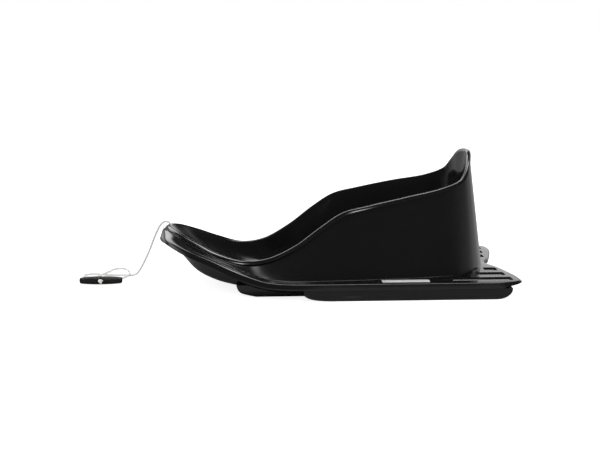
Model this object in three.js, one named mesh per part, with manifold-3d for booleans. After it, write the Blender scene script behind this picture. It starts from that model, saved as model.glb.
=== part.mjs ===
// Baby pull sled: a seat tub with a tall back, let into a body shell with a wide flange,
// closed below by a keeled hull pan, on two runner rails, with a tow rope and its handle.
//
// Millimetres, +Z up, the nose towards -X. The origin is on the ground, under the middle of
// the sled; the rope and the handle lie in front of it.
import * as THREE from 'three';
import { mergeVertices } from 'three/addons/utils/BufferGeometryUtils.js';
import Module from 'manifold-3d';

// Driving sizes of the sled itself
const HULL_LENGTH = 768;
const HULL_WIDTH = 400;
const HULL_HEIGHT = 293;
const SKIN = 2.6;
const FIT_GAP = 0.3;

// Rim bead of the seat tub, which hooks over the top edge of the body shell
const BEAD_DROP = 7.5;
const BEAD_SHOULDER = 2;
const BEAD_CROWN = 0.4;
const TUB_FLOOR_HEIGHT = HULL_HEIGHT * 0.0683;
const TUB_FLOOR_DISH = 3;

// Flange, its fold and its lip
const FLANGE_HEIGHT = HULL_HEIGHT / 8;
const LIP_HEIGHT = HULL_HEIGHT * 0.0922;
const FOLD_RADIUS = 2;
const CREASE_RADIUS = 5;

// Tail deck grooves
const GROOVE_WIDTH = 27;
const GROOVE_FLOOR_WIDTH = 19;
const GROOVE_DEPTH = 6;
const GROOVE_PITCH = HULL_WIDTH * 0.1225;
const GROOVE_START_SHARES = [0.9453, 0.9284, 0.8906, 0.8073];

// Hull pan and its keels
const PAN_EDGE_INSET = 1;
const PAN_SHELF_HEIGHT = LIP_HEIGHT - FIT_GAP - SKIN;
const PAN_DISH = 2;
const KEEL_OUTER = HULL_WIDTH * 0.375;
const KEEL_WIDTH = 24;
const KEEL_FRONT = HULL_LENGTH * 0.2188;
const KEEL_REAR = HULL_LENGTH * 0.9284;
const KEEL_EDGE_RADIUS = 3;

// Runner rails under the flange
const RUNNER_FRONT = HULL_LENGTH * 0.401;
const RUNNER_REAR = HULL_LENGTH * 0.97;
const RUNNER_INSET = 3;
const RUNNER_WIDTH = HULL_WIDTH * 0.06;
const RUNNER_HEIGHT = PAN_SHELF_HEIGHT - FIT_GAP;
const RUNNER_WALL = 3;
const RUNNER_EDGE_RADIUS = 2;

// Pale strip on the flange
const STRIP_LENGTH = 100;
const STRIP_WIDTH = 20;
const STRIP_THICKNESS = 0.8;
const STRIP_FRONT = HULL_LENGTH * 0.6146;
const STRIP_INSET = 23;

// Tow rope and its knots
const ROPE_DIAMETER = 5;
const ROPE_SIDES = 8;
const ROPE_STEPS = 80;
const ROPE_HOLE_DIAMETER = 5.6;
const ROPE_HOLE_LENGTH = 20;
const KNOT_DIAMETER = 11;

// Tow handle, its centre measured from under the rim at the nose
const HANDLE_CENTRE = [-146.13, -16, 9];
const HANDLE_LENGTH = 94;
const HANDLE_DIAMETER = 18;
const HANDLE_END_DIAMETER = 13.5;
const HANDLE_END_ROUND = 4;
const HANDLE_END_ROUND_SHARE = 0.3;
const HANDLE_TURNED_SHARES = [0, 0.3, 0.6];
const HANDLE_SIDES = 20;
const HANDLE_BORE_DIAMETER = 6.4;
const HANDLE_POCKET_DIAMETER = 13;
const HANDLE_POCKET_DEPTH = 4;

const STEPS_PER_STATION = 3;
const BORE_SIDES = 16;
const ROUND_SEGMENTS = 2;
const WELD = 1e-4;
const CUTTER_REACH = 60;
const HALF_WIDTH = HULL_WIDTH / 2;
const NEAREST_SHARE = 0.45;
const WALL_ROW_SHARES = [0.35, 0.7];
const DISH_ROW_ACROSS = 0.5;
const DISH_ROW_DEPTH = 0.75;

// Places along the sled, [length, half width, height], as shares of the three driving sizes.
// Every table has the same stations, from the middle of the nose round one side to the
// middle of the back, so that station n of one outline faces station n of the next.
const RIM_SHARES = [
  [0.021, 0, 0.447], [0.049, 0.245, 0.423], [0.102, 0.405, 0.365], [0.163, 0.515, 0.283],
  [0.238, 0.545, 0.239], [0.303, 0.59, 0.259], [0.378, 0.665, 0.358], [0.449, 0.685, 0.498],
  [0.51, 0.67, 0.601], [0.586, 0.655, 0.652], [0.69, 0.62, 0.71], [0.788, 0.545, 0.761],
  [0.84, 0.515, 0.816], [0.862, 0.425, 0.904], [0.878, 0.2, 0.976], [0.885, 0, 1],
];
const CREASE_SHARES = [
  [0.009, 0, 0.415], [0.04, 0.273, 0.392], [0.095, 0.443, 0.328], [0.159, 0.57, 0.256],
  [0.238, 0.68, 0.181], [0.303, 0.79, 0.138], [0.378, 0.835, 0.125], [0.449, 0.84, 0.125],
  [0.521, 0.82, 0.125], [0.602, 0.79, 0.125], [0.71, 0.735, 0.125], [0.81, 0.66, 0.125],
  [0.87, 0.56, 0.125], [0.901, 0.41, 0.125], [0.924, 0.2, 0.125], [0.932, 0, 0.125],
];
const FOLD_SHARES = [
  [0.004, 0, 0.362], [0.025, 0.35, 0.352], [0.082, 0.6, 0.314], [0.154, 0.755, 0.253],
  [0.238, 0.88, 0.174], [0.303, 0.95, 0.137], [0.378, 0.985, 0.125], [0.449, 0.995, 0.125],
  [0.534, 0.995, 0.125], [0.625, 0.995, 0.125], [0.736, 0.995, 0.125], [0.846, 0.995, 0.125],
  [0.95, 0.982, 0.125], [0.994, 0.89, 0.125], [0.965, 0.525, 0.125], [0.958, 0, 0.125],
];
const LIP_SHARES = [
  [0, 0, 0.331], [0.023, 0.355, 0.321], [0.078, 0.62, 0.28], [0.152, 0.775, 0.222],
  [0.238, 0.895, 0.143], [0.303, 0.965, 0.102], [0.378, 0.993, 0.092], [0.449, 1, 0.092],
  [0.534, 1, 0.092], [0.625, 1, 0.092], [0.736, 1, 0.092], [0.846, 1, 0.092],
  [0.952, 0.987, 0.092], [1, 0.9, 0.112], [0.967, 0.525, 0.094], [0.96, 0, 0.092],
];
const FLOOR_SHARES = [
  [0.23, 0], [0.234, 0.14], [0.243, 0.27], [0.258, 0.375], [0.285, 0.445], [0.325, 0.49],
  [0.38, 0.53], [0.449, 0.55], [0.51, 0.555], [0.586, 0.54], [0.69, 0.505], [0.763, 0.45],
  [0.815, 0.37], [0.842, 0.27], [0.857, 0.13], [0.862, 0],
];
const PAN_TAIL_SHARES = [
  [0.95, 0.98, 0.092], [0.969, 0.89, 0.092], [0.96, 0.52, 0.092], [0.953, 0, 0.092],
];
const PAN_SHELF_SHARES = [
  [0.013, 0, 0.307], [0.034, 0.3, 0.3], [0.089, 0.53, 0.263], [0.158, 0.69, 0.208],
  [0.24, 0.815, 0.131], [0.303, 0.855, 0.092], [0.378, 0.86, 0.08], [0.449, 0.86, 0.08],
  [0.534, 0.86, 0.08], [0.625, 0.86, 0.08], [0.736, 0.86, 0.08], [0.833, 0.86, 0.08],
  [0.9, 0.85, 0.08], [0.937, 0.79, 0.08], [0.944, 0.45, 0.08], [0.94, 0, 0.08],
];
const PAN_BILGE_SHARES = [
  [0.058, 0, 0.2], [0.068, 0.22, 0.2], [0.105, 0.42, 0.162], [0.165, 0.58, 0.12],
  [0.242, 0.71, 0.082], [0.303, 0.79, 0.058], [0.378, 0.82, 0.048], [0.449, 0.825, 0.048],
  [0.534, 0.825, 0.048], [0.625, 0.825, 0.048], [0.736, 0.825, 0.048], [0.827, 0.825, 0.048],
  [0.89, 0.81, 0.048], [0.925, 0.74, 0.048], [0.936, 0.4, 0.048], [0.932, 0, 0.048],
];
const PAN_BOTTOM_SHARES = [
  [0.135, 0, 0.075], [0.15, 0.15, 0.07], [0.169, 0.29, 0.065], [0.202, 0.42, 0.056],
  [0.247, 0.56, 0.043], [0.303, 0.69, 0.031], [0.378, 0.75, 0.024], [0.449, 0.76, 0.024],
  [0.534, 0.76, 0.024], [0.625, 0.76, 0.024], [0.736, 0.76, 0.024], [0.82, 0.76, 0.024],
  [0.876, 0.74, 0.024], [0.91, 0.65, 0.024], [0.921, 0.35, 0.024], [0.92, 0, 0.024],
];

// Heights up the inner wall of the tub and how far across it has come there, as shares
const TUB_WALL_SHARES = [[0.855, 0.73], [0.6, 0.38], [0.25, 0.08]];

// Side views, [length, height], as shares of the piece they belong to
const KEEL_NOSE = [42, HULL_HEIGHT * 0.0956];
const KEEL_NOSE_SHARES = [[0, 1], [0.05, 0.64], [0.21, 0.32], [0.57, 0.14], [1, 0]];
const KEEL_TAIL = [24, HULL_HEIGHT * 0.0683];
const RUNNER_NOSE = [56, RUNNER_HEIGHT * 0.546];
const RUNNER_NOSE_SHARES = [[0, 1], [0.07, 0.73], [0.21, 0.42], [0.43, 0.2], [0.71, 0.06], [1, 0]];
const RUNNER_TAIL = [34, RUNNER_HEIGHT * 0.924];
const TAIL_SHARES = [[1, 0], [0.62, 0.08], [0.29, 0.29], [0.08, 0.62], [0, 1]];

// Route of the rope, chosen by hand: first up through the nose wall and over the rim, measured
// from the rim at the nose, in millimetres
const ROPE_OVER_RIM = [
  [7, 0, -13.8], [9.5, 0.2, -5], [7.1, 0.5, 1.6], [-2.1, 1.1, 5.8], [-10.3, 2, 2.2],
  [-16.1, 3.3, -5],
];
// Then down the front, with the height as a share of the height of the rim there
const ROPE_DOWN = [
  [-23.1, 5.6, 0.859], [-31.1, 9, 0.718], [-40.1, 16, 0.542], [-51.1, 27, 0.355],
  [-63.1, 40, 0.176], [-74.1, 50, 0.061],
];
// Then through the loose pile on the ground and into the handle
const ROPE_PILE = [
  [-87.1, 56.5, 2.9], [-104.1, 61, 2.6], [-122.1, 62, 2.6], [-140.1, 65, 2.6],
  [-159.1, 73, 2.6], [-178.1, 76, 2.6], [-191.1, 68, 2.6], [-192.1, 54, 2.6],
  [-179.1, 44, 2.6], [-162.1, 44, 3.2], [-149.1, 53, 7.2], [-141.1, 66, 8.8],
  [-137.1, 82, 6.4], [-139.1, 102, 2.8], [-133.1, 122, 2.6], [-118.1, 131, 2.6],
  [-103.1, 122, 2.6], [-98.1, 104, 2.8], [-95.1, 84, 5.6], [-91.1, 65, 8.8],
  [-90.1, 49, 7.4], [-97.1, 35, 3.6], [-113.1, 27, 2.8], [-131.1, 22, 4.6],
  [-143.1, 13, 8], [-146.1, -1, 9], [-146.1, -20.1, 9],
];

const wasm = await Module();
wasm.setup();

const blackPlastic = () => new THREE.MeshStandardMaterial({ color: 0x0c0c0d, roughness: 0.22 });
const railPlastic = () => new THREE.MeshStandardMaterial({ color: 0x121214, roughness: 0.45 });
const whiteRope = () => new THREE.MeshStandardMaterial({ color: 0xe9e7e2, roughness: 0.85 });
const paleFilm = () => new THREE.MeshStandardMaterial({ color: 0xc9c9cb, roughness: 0.4 });

const X_AXIS = new THREE.Vector3(1, 0, 0);
const Y_AXIS = new THREE.Vector3(0, 1, 0);
const Z_AXIS = new THREE.Vector3(0, 0, 1);

const fromNose = (station) => station - HULL_LENGTH / 2;
const placed = ([along, across, up]) =>
  new THREE.Vector3(fromNose(along * HULL_LENGTH), across * HALF_WIDTH, up * HULL_HEIGHT);

// A closed outline round the sled through one side's stations and their mirror images
function outline(points) {
  const other = points.slice(1, -1).reverse().map((p) => new THREE.Vector3(p.x, -p.y, p.z));
  const curve = new THREE.CatmullRomCurve3([...points, ...other], true, 'centripetal');
  const count = curve.points.length * STEPS_PER_STATION;
  const ring = [];
  for (let i = 0; i < count; i += 1) {
    const point = curve.getPoint(i / count);
    if (i === 0 || i === count / 2) point.y = 0;
    ring.push(point);
  }
  return ring;
}

const tableOutline = (shares) => outline(shares.map(placed));

// Each point of an outline with the directions out of the sled and down, square to the outline
const framed = (ring) => ring.map((point, i) => {
  const before = ring[(i + ring.length - 1) % ring.length];
  const after = ring[(i + 1) % ring.length];
  const along = after.clone().sub(before).normalize();
  const out = new THREE.Vector3(-along.y, along.x, 0).normalize();
  const down = out.clone().cross(along);
  return { point, out, down };
});
const beside = (frames, outward, downward) => frames.map(({ point, out, down }) =>
  point.clone().addScaledVector(out, outward).addScaledVector(down, downward));

const between = (ringA, ringB, share) => ringA.map((point, i) => point.clone().lerp(ringB[i], share));
const lowered = (ring, drop) => ring.map((point) => point.clone().setZ(point.z - drop));
const levelled = (ring, height) => ring.map((point) => point.clone().setZ(Math.max(point.z, height)));

// Points a little way from one outline towards another, never past the middle between them
const towards = (ring, target, distance) => ring.map((point, i) => {
  const step = target[i].clone().sub(point);
  const reach = Math.min(distance, step.length() * NEAREST_SHARE);
  return point.clone().addScaledVector(step.normalize(), reach);
});

// Two rows that carry a shallow dish from an edge to the centreline
function dishRows(edge, dish) {
  const widest = Math.max(...edge.map((point) => point.y));
  const sunk = (point, across, depth) =>
    new THREE.Vector3(point.x, point.y * across, point.z - depth * dish * Math.abs(point.y) / widest);
  return [
    edge.map((point) => sunk(point, DISH_ROW_ACROSS, DISH_ROW_DEPTH)),
    edge.map((point) => sunk(point, 0, 1)),
  ];
}

// Turns every face round if the solid encloses a negative volume
function facingOut(geometry) {
  const p = geometry.attributes.position;
  const [a, b, c] = [new THREE.Vector3(), new THREE.Vector3(), new THREE.Vector3()];
  let volume = 0;
  for (let i = 0; i < p.count; i += 3) {
    a.fromBufferAttribute(p, i);
    b.fromBufferAttribute(p, i + 1);
    c.fromBufferAttribute(p, i + 2);
    volume += a.dot(b.clone().cross(c));
  }
  if (volume > 0) return geometry;
  for (let i = 0; i < p.count; i += 3) {
    b.fromBufferAttribute(p, i + 1);
    c.fromBufferAttribute(p, i + 2);
    p.setXYZ(i + 1, c.x, c.y, c.z);
    p.setXYZ(i + 2, b.x, b.y, b.z);
  }
  return geometry;
}

function triangleGeometry(triangles) {
  const positions = [];
  for (const [a, b, c] of triangles) {
    const area = b.clone().sub(a).cross(c.clone().sub(a)).length();
    if (area > WELD) positions.push(...a, ...b, ...c);
  }
  const geometry = new THREE.BufferGeometry();
  geometry.setAttribute('position', new THREE.Float32BufferAttribute(positions, 3));
  return facingOut(geometry);
}

// Triangles between neighbouring rows of points, each row a closed outline
function quads(rows) {
  const triangles = [];
  const count = rows[0].length;
  for (let r = 0; r < rows.length - 1; r += 1) {
    for (let i = 0; i < count; i += 1) {
      const j = (i + 1) % count;
      const [here, next] = [rows[r], rows[r + 1]];
      triangles.push([here[i], here[j], next[j]], [here[i], next[j], next[i]]);
    }
  }
  return triangles;
}

// Rows of a sheet moved square to it; a sheet that goes down the sled moves outwards
function offsetRows(rows, distance) {
  return rows.map((row, r) => row.map((point, i) => {
    const before = row[(i + row.length - 1) % row.length];
    const after = row[(i + 1) % row.length];
    const above = rows[Math.max(r - 1, 0)][i];
    const below = rows[Math.min(r + 1, rows.length - 1)][i];
    const normal = after.clone().sub(before).cross(below.clone().sub(above)).normalize();
    const moved = point.clone().addScaledVector(normal, distance);
    if (Math.abs(point.y) < WELD) moved.y = 0;
    return moved;
  }));
}

// A skin of even thickness on a sheet that is open in the middle, its last edge cut level
function ringSkin(rows, thickness) {
  const back = offsetRows(rows, thickness);
  back[back.length - 1] = beside(framed(rows[rows.length - 1]), thickness, 0);
  return triangleGeometry(quads([...rows, ...back.reverse(), rows[0]]));
}

// The back of a sheet whose last row has run together on the centreline
function bowlBack(rows, thickness) {
  const back = offsetRows(rows, thickness);
  back[back.length - 1] = lowered(rows[rows.length - 1], thickness);
  return back;
}

const bowlSkin = (rows, thickness) =>
  triangleGeometry(quads([...bowlBack(rows, thickness).reverse(), ...rows]));

function toSolid(geometry) {
  const bare = geometry.clone();
  bare.deleteAttribute('normal');
  bare.deleteAttribute('uv');
  const merged = mergeVertices(bare, WELD);
  const index = Array.from(merged.index.array);
  const corners = [];
  for (let i = 0; i < index.length; i += 3) {
    const [a, b, c] = index.slice(i, i + 3);
    if (a !== b && b !== c && c !== a) corners.push(a, b, c);
  }
  return new wasm.Manifold(new wasm.Mesh({
    numProp: 3,
    vertProperties: new Float32Array(merged.attributes.position.array),
    triVerts: new Uint32Array(corners),
  }));
}

function toGeometry(solid) {
  const { vertProperties, triVerts } = solid.getMesh();
  const geometry = new THREE.BufferGeometry();
  geometry.setAttribute('position', new THREE.Float32BufferAttribute(vertProperties, 3));
  geometry.setIndex(Array.from(triVerts));
  return geometry;
}

// The solid itself, without slivers of closed space left inside it by the cuts
const withoutPockets = (solid) =>
  solid.decompose().sort((a, b) => b.volume() - a.volume())[0];

function namedMesh(name, geometry, material) {
  const mesh = new THREE.Mesh(geometry, material);
  mesh.name = name;
  return mesh;
}

// A cylinder about a line, as a cutter
function cylinder(diameter, length, centre, direction) {
  const geometry = new THREE.CylinderGeometry(diameter / 2, diameter / 2, length, BORE_SIDES);
  geometry.applyQuaternion(new THREE.Quaternion().setFromUnitVectors(Y_AXIS, direction));
  geometry.translate(...centre);
  return toSolid(geometry);
}

// A flat outline in X and Z made solid between two places across the sled, its edges rounded
function sideSolid(points, fromY, toY, radius) {
  const shape = new THREE.Shape(points.map(([x, z]) => new THREE.Vector2(x, z)));
  const geometry = new THREE.ExtrudeGeometry(shape, {
    depth: toY - fromY - 2 * radius,
    bevelEnabled: radius > 0,
    bevelSize: radius,
    bevelThickness: radius,
    bevelOffset: -radius,
    bevelSegments: ROUND_SEGMENTS,
  });
  geometry.applyMatrix4(new THREE.Matrix4().makeBasis(X_AXIS, Z_AXIS, Y_AXIS.clone().negate()));
  geometry.translate(0, toY - radius, 0);
  return toSolid(geometry);
}

// A flat outline in Y and Z made solid between two stations
function lengthSolid(points, fromStation, toStation) {
  const shape = new THREE.Shape(points.map(([y, z]) => new THREE.Vector2(y, z)));
  const depth = toStation - fromStation;
  const geometry = new THREE.ExtrudeGeometry(shape, { depth, bevelEnabled: false });
  geometry.applyMatrix4(new THREE.Matrix4().makeBasis(Y_AXIS, Z_AXIS, X_AXIS));
  geometry.translate(fromNose(fromStation), 0, 0);
  return toSolid(geometry);
}

const rim = framed(tableOutline(RIM_SHARES));
const crease = levelled(tableOutline(CREASE_SHARES), FLANGE_HEIGHT);
const fold = levelled(tableOutline(FOLD_SHARES), FLANGE_HEIGHT);
const lip = levelled(tableOutline(LIP_SHARES), LIP_HEIGHT);
const slot = SKIN + 2 * FIT_GAP;
const beadOut = slot + SKIN;

const noseRim = placed(RIM_SHARES[0]);
const fromRim = ([x, y, z]) => new THREE.Vector3(noseRim.x + x, y, z);
const handleCentre = fromRim(HANDLE_CENTRE);
const ropeCurve = new THREE.CatmullRomCurve3([
  ...ROPE_OVER_RIM.map(([x, y, above]) => fromRim([x, y, noseRim.z + above])),
  ...ROPE_DOWN.map(([x, y, share]) => fromRim([x, y, noseRim.z * share])),
  ...ROPE_PILE.map(fromRim),
]);
const ropeStart = ropeCurve.getPointAt(0);
const ropeStartDirection = ropeCurve.getTangentAt(0);

// Seat tub: rim bead, inner wall and floor, with the hole for the rope in its nose
function seatTub() {
  const floorEdge = tableOutline(FLOOR_SHARES.map(([along, across]) =>
    [along, across, TUB_FLOOR_HEIGHT / HULL_HEIGHT]));
  const wallTop = beside(rim, -SKIN, BEAD_SHOULDER);
  const wall = TUB_WALL_SHARES.map(([across, up]) => wallTop.map((top, i) => {
    const foot = floorEdge[i];
    const point = foot.clone().lerp(top, across);
    point.z = foot.z + (top.z - foot.z) * up;
    return point;
  }));
  const rows = [
    beside(rim, beadOut, BEAD_DROP),
    beside(rim, beadOut, BEAD_SHOULDER),
    beside(rim, beadOut - BEAD_SHOULDER, BEAD_CROWN),
    beside(rim, BEAD_SHOULDER - SKIN, BEAD_CROWN),
    wallTop,
    ...wall,
    floorEdge,
    ...dishRows(floorEdge, TUB_FLOOR_DISH),
  ];
  const skin = toSolid(bowlSkin(rows, SKIN));
  const hole = cylinder(ROPE_HOLE_DIAMETER, ROPE_HOLE_LENGTH, ropeStart, ropeStartDirection);
  return namedMesh('seat_tub', toGeometry(skin.subtract(hole)), blackPlastic());
}

// One groove of the tail deck: the channel that hangs under the deck and the space in it
function groove(middle, start) {
  const floor = FLANGE_HEIGHT - GROOVE_DEPTH;
  const slope = (GROOVE_WIDTH - GROOVE_FLOOR_WIDTH) / 2 / GROOVE_DEPTH;
  const section = (low, high, wall) => {
    const half = (height) => GROOVE_FLOOR_WIDTH / 2 + (height - floor) * slope + wall;
    return [[middle - half(low), low], [middle + half(low), low],
      [middle + half(high), high], [middle - half(high), high]];
  };
  const end = HULL_LENGTH + CUTTER_REACH;
  const channel = section(floor - SKIN, FLANGE_HEIGHT - SKIN / 2, SKIN);
  return {
    channel: lengthSolid(channel, start - SKIN, end),
    space: lengthSolid(section(floor, FLANGE_HEIGHT + SKIN, 0), start, end),
  };
}

// Everything inside the outline of the lip, as a tall block
function withinLip() {
  const shape = new THREE.Shape(lip.map((point) => new THREE.Vector2(point.x, point.y)));
  return toSolid(new THREE.ExtrudeGeometry(shape, { depth: CUTTER_REACH, bevelEnabled: false }));
}

// Body shell: outer wall, flange with its folded lip, and the grooves of the tail deck
function bodyShell() {
  const wallTop = beside(rim, slot - FIT_GAP, SKIN + BEAD_SHOULDER);
  const underBead = beside(rim, slot - FIT_GAP, BEAD_DROP + FIT_GAP);
  const rows = [
    wallTop,
    underBead,
    ...WALL_ROW_SHARES.map((share) => between(underBead, crease, share)),
    towards(crease, underBead, CREASE_RADIUS),
    towards(crease, fold, CREASE_RADIUS),
    towards(fold, crease, FOLD_RADIUS),
    towards(fold, lip, FOLD_RADIUS),
    lip,
  ];
  const block = withinLip();
  let shell = toSolid(ringSkin(rows, -SKIN));
  for (const [place, share] of GROOVE_START_SHARES.entries()) {
    const middle = (place + 1 / 2) * GROOVE_PITCH;
    for (const side of [-middle, middle]) {
      const { channel, space } = groove(side, share * HULL_LENGTH);
      shell = shell.add(channel.intersect(block)).subtract(space);
    }
  }
  return namedMesh('body_shell', toGeometry(withoutPockets(shell)), blackPlastic());
}

const atFront = (shares, start, [length, height]) =>
  shares.map(([along, up]) => [fromNose(start + along * length), up * height]);
const atRear = (shares, end, [length, height]) =>
  shares.map(([along, up]) => [fromNose(end - along * length), up * height]);

// Hull pan: the skin that closes the sled below, with a keel along each side
function hullPan() {
  const edgeShares = [...LIP_SHARES.slice(0, -PAN_TAIL_SHARES.length), ...PAN_TAIL_SHARES];
  const edge = framed(levelled(tableOutline(edgeShares), LIP_HEIGHT));
  const bottom = tableOutline(PAN_BOTTOM_SHARES);
  const rows = [
    beside(edge, -PAN_EDGE_INSET, FIT_GAP + SKIN),
    levelled(tableOutline(PAN_SHELF_SHARES), PAN_SHELF_HEIGHT),
    tableOutline(PAN_BILGE_SHARES),
    bottom,
    ...dishRows(bottom, PAN_DISH),
  ];
  const back = bowlBack(rows, -SKIN / 2);
  const lid = back[back.length - 1].map((point) => point.clone().setZ(HULL_HEIGHT));
  const inside = toSolid(triangleGeometry(quads([lid, ...back])));
  const profile = [
    ...atFront(KEEL_NOSE_SHARES, KEEL_FRONT, KEEL_NOSE),
    ...atRear(TAIL_SHARES, KEEL_REAR, KEEL_TAIL),
  ];
  let pan = toSolid(bowlSkin(rows, -SKIN));
  for (const inner of [KEEL_OUTER - KEEL_WIDTH, -KEEL_OUTER]) {
    const keel = sideSolid(profile, inner, inner + KEEL_WIDTH, KEEL_EDGE_RADIUS);
    pan = pan.add(keel.subtract(inside));
  }
  return namedMesh('hull_pan', toGeometry(pan), blackPlastic());
}

// A runner rail: a trough with a solid heel, open on top under the shelf of the pan
function runner(name, inner) {
  const above = RUNNER_HEIGHT + RUNNER_EDGE_RADIUS;
  const profile = [
    [fromNose(RUNNER_FRONT), above],
    ...atFront(RUNNER_NOSE_SHARES, RUNNER_FRONT, RUNNER_NOSE),
    ...atRear(TAIL_SHARES, RUNNER_REAR, RUNNER_TAIL),
    [fromNose(RUNNER_REAR), above],
  ];
  const heel = fromNose(RUNNER_REAR - RUNNER_TAIL[0]);
  const hollow = [
    [fromNose(RUNNER_FRONT + RUNNER_WALL), above],
    ...atFront(RUNNER_NOSE_SHARES, RUNNER_FRONT + RUNNER_WALL, RUNNER_NOSE)
      .map(([x, z]) => [x, z + RUNNER_WALL]),
    [heel, RUNNER_WALL],
    [heel, above],
  ];
  const outer = inner + RUNNER_WIDTH;
  const rail = sideSolid(profile, inner, outer, RUNNER_EDGE_RADIUS)
    .subtract(sideSolid(hollow, inner + RUNNER_WALL, outer - RUNNER_WALL, 0))
    .trimByPlane([0, 0, -1], -RUNNER_HEIGHT);
  return namedMesh(name, toGeometry(rail), railPlastic());
}

// Plain film on the flat of one flange
function sideStrip() {
  const geometry = new THREE.BoxGeometry(STRIP_LENGTH, STRIP_WIDTH, STRIP_THICKNESS);
  geometry.translate(fromNose(STRIP_FRONT + STRIP_LENGTH / 2), STRIP_INSET - HALF_WIDTH,
    FLANGE_HEIGHT + FIT_GAP + STRIP_THICKNESS / 2);
  return namedMesh('side_strip', geometry, paleFilm());
}

function towRope() {
  const shape = new THREE.Shape();
  for (let i = 0; i < ROPE_SIDES; i += 1) {
    const angle = i / ROPE_SIDES * 2 * Math.PI;
    const [x, y] = [Math.cos(angle) * ROPE_DIAMETER / 2, Math.sin(angle) * ROPE_DIAMETER / 2];
    if (i === 0) shape.moveTo(x, y);
    else shape.lineTo(x, y);
  }
  const options = { steps: ROPE_STEPS, extrudePath: ropeCurve, bevelEnabled: false };
  return namedMesh('tow_rope', new THREE.ExtrudeGeometry(shape, options), whiteRope());
}

// A knot at an end of the rope, which it faces across the fit gap
function knot(name, ropeEnd, directionAway) {
  const reach = KNOT_DIAMETER / 2 + FIT_GAP;
  const centre = ropeEnd.clone().addScaledVector(directionAway, reach);
  const geometry = new THREE.SphereGeometry(KNOT_DIAMETER / 2, BORE_SIDES, BORE_SIDES / 2);
  geometry.translate(...centre);
  return namedMesh(name, toGeometry(toSolid(geometry)), whiteRope());
}

// Tow handle: a turned bar, thicker in the middle, with a bore for the rope across it
function towHandle() {
  const half = HANDLE_LENGTH / 2;
  const radiusAt = (place) => THREE.MathUtils.lerp(
    HANDLE_DIAMETER / 2, HANDLE_END_DIAMETER / 2, (place / half) ** 2);
  const side = HANDLE_TURNED_SHARES.map((share) => [radiusAt(share * half), share * half]);
  const shoulder = half - HANDLE_END_ROUND;
  const cut = HANDLE_END_ROUND * HANDLE_END_ROUND_SHARE;
  const end = [
    [radiusAt(shoulder), shoulder],
    [radiusAt(half) - cut, half - cut],
    [radiusAt(half) - HANDLE_END_ROUND, half],
    [0, half],
  ];
  const upper = [...side, ...end];
  const lower = upper.slice(1).reverse().map(([radius, along]) => [radius, -along]);
  const points = [...lower, ...upper].map(([radius, along]) => new THREE.Vector2(radius, along));
  const geometry = new THREE.LatheGeometry(points, HANDLE_SIDES);
  geometry.rotateZ(-Math.PI / 2);
  geometry.translate(...handleCentre);
  const [x, y, z] = handleCentre;
  let bar = toSolid(geometry)
    .subtract(cylinder(HANDLE_BORE_DIAMETER, 2 * HANDLE_DIAMETER, handleCentre, Y_AXIS));
  for (const side of [-1, 1]) {
    const middle = y + side * (HANDLE_DIAMETER - HANDLE_POCKET_DEPTH);
    bar = bar.subtract(cylinder(HANDLE_POCKET_DIAMETER, HANDLE_DIAMETER, [x, middle, z], Y_AXIS));
  }
  return namedMesh('tow_handle', toGeometry(bar), railPlastic());
}

const sled = new THREE.Group();
sled.add(seatTub());
sled.add(bodyShell());
sled.add(hullPan());
sled.add(runner('runner_left', RUNNER_INSET - HALF_WIDTH));
sled.add(runner('runner_right', HALF_WIDTH - RUNNER_INSET - RUNNER_WIDTH));
sled.add(sideStrip());
sled.add(towRope());
sled.add(knot('nose_knot', ropeStart, ropeStartDirection.clone().negate()));
sled.add(knot('handle_knot', ropeCurve.getPointAt(1), ropeCurve.getTangentAt(1)));
sled.add(towHandle());

export default sled;
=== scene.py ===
"""Baby pull sled in a plain studio, dressed on the solids of its own frame.

The three formed skins are lofted from the same stations as the solids, in metres, with round
beads and folds. The runner rails, the film strip and the tow handle are modelled from
primitives, and the tow rope is a braid that follows the rope's route.
"""
from __future__ import annotations

import logging
import math
from collections.abc import Callable
from dataclasses import dataclass, field
from enum import Enum

import bmesh
import bpy
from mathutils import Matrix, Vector

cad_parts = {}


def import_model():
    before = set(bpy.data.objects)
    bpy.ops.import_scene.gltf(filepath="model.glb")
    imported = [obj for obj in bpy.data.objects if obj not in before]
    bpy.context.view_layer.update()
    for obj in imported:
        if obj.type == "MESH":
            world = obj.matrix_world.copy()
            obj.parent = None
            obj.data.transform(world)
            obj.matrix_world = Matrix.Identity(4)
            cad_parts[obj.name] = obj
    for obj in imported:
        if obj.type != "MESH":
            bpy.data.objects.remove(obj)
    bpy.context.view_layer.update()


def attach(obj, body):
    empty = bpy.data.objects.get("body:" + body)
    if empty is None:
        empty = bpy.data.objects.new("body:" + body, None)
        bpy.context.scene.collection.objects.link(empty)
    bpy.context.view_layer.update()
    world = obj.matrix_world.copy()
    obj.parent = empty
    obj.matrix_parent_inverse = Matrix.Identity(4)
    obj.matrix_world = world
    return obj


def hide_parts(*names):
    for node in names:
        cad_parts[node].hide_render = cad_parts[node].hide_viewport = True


LOG = logging.getLogger("pull_sled")

MM = 0.001
HULL_LENGTH = 768 * MM
HULL_WIDTH = 400 * MM
HULL_HEIGHT = 293 * MM
SKIN = 2.6 * MM
FIT_GAP = 0.3 * MM
FLANGE_HEIGHT = HULL_HEIGHT / 8
LIP_HEIGHT = HULL_HEIGHT * 0.0922
SLOT = SKIN + 2 * FIT_GAP
ROPE_DIAMETER = 5 * MM
WELD = 1e-6
UNIT_Z = Vector((0, 0, 1))

# Parts of a face normal, past which a face is flat, looks down or leans
FLAT = 0.9
DOWN = -0.7
LEANING = 0.3
# Reach of a round that takes up half of the skin on both sides of its corner
FULL_ROUND = 1.0

Ring = list[Vector]
Share = tuple[float, ...]

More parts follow.
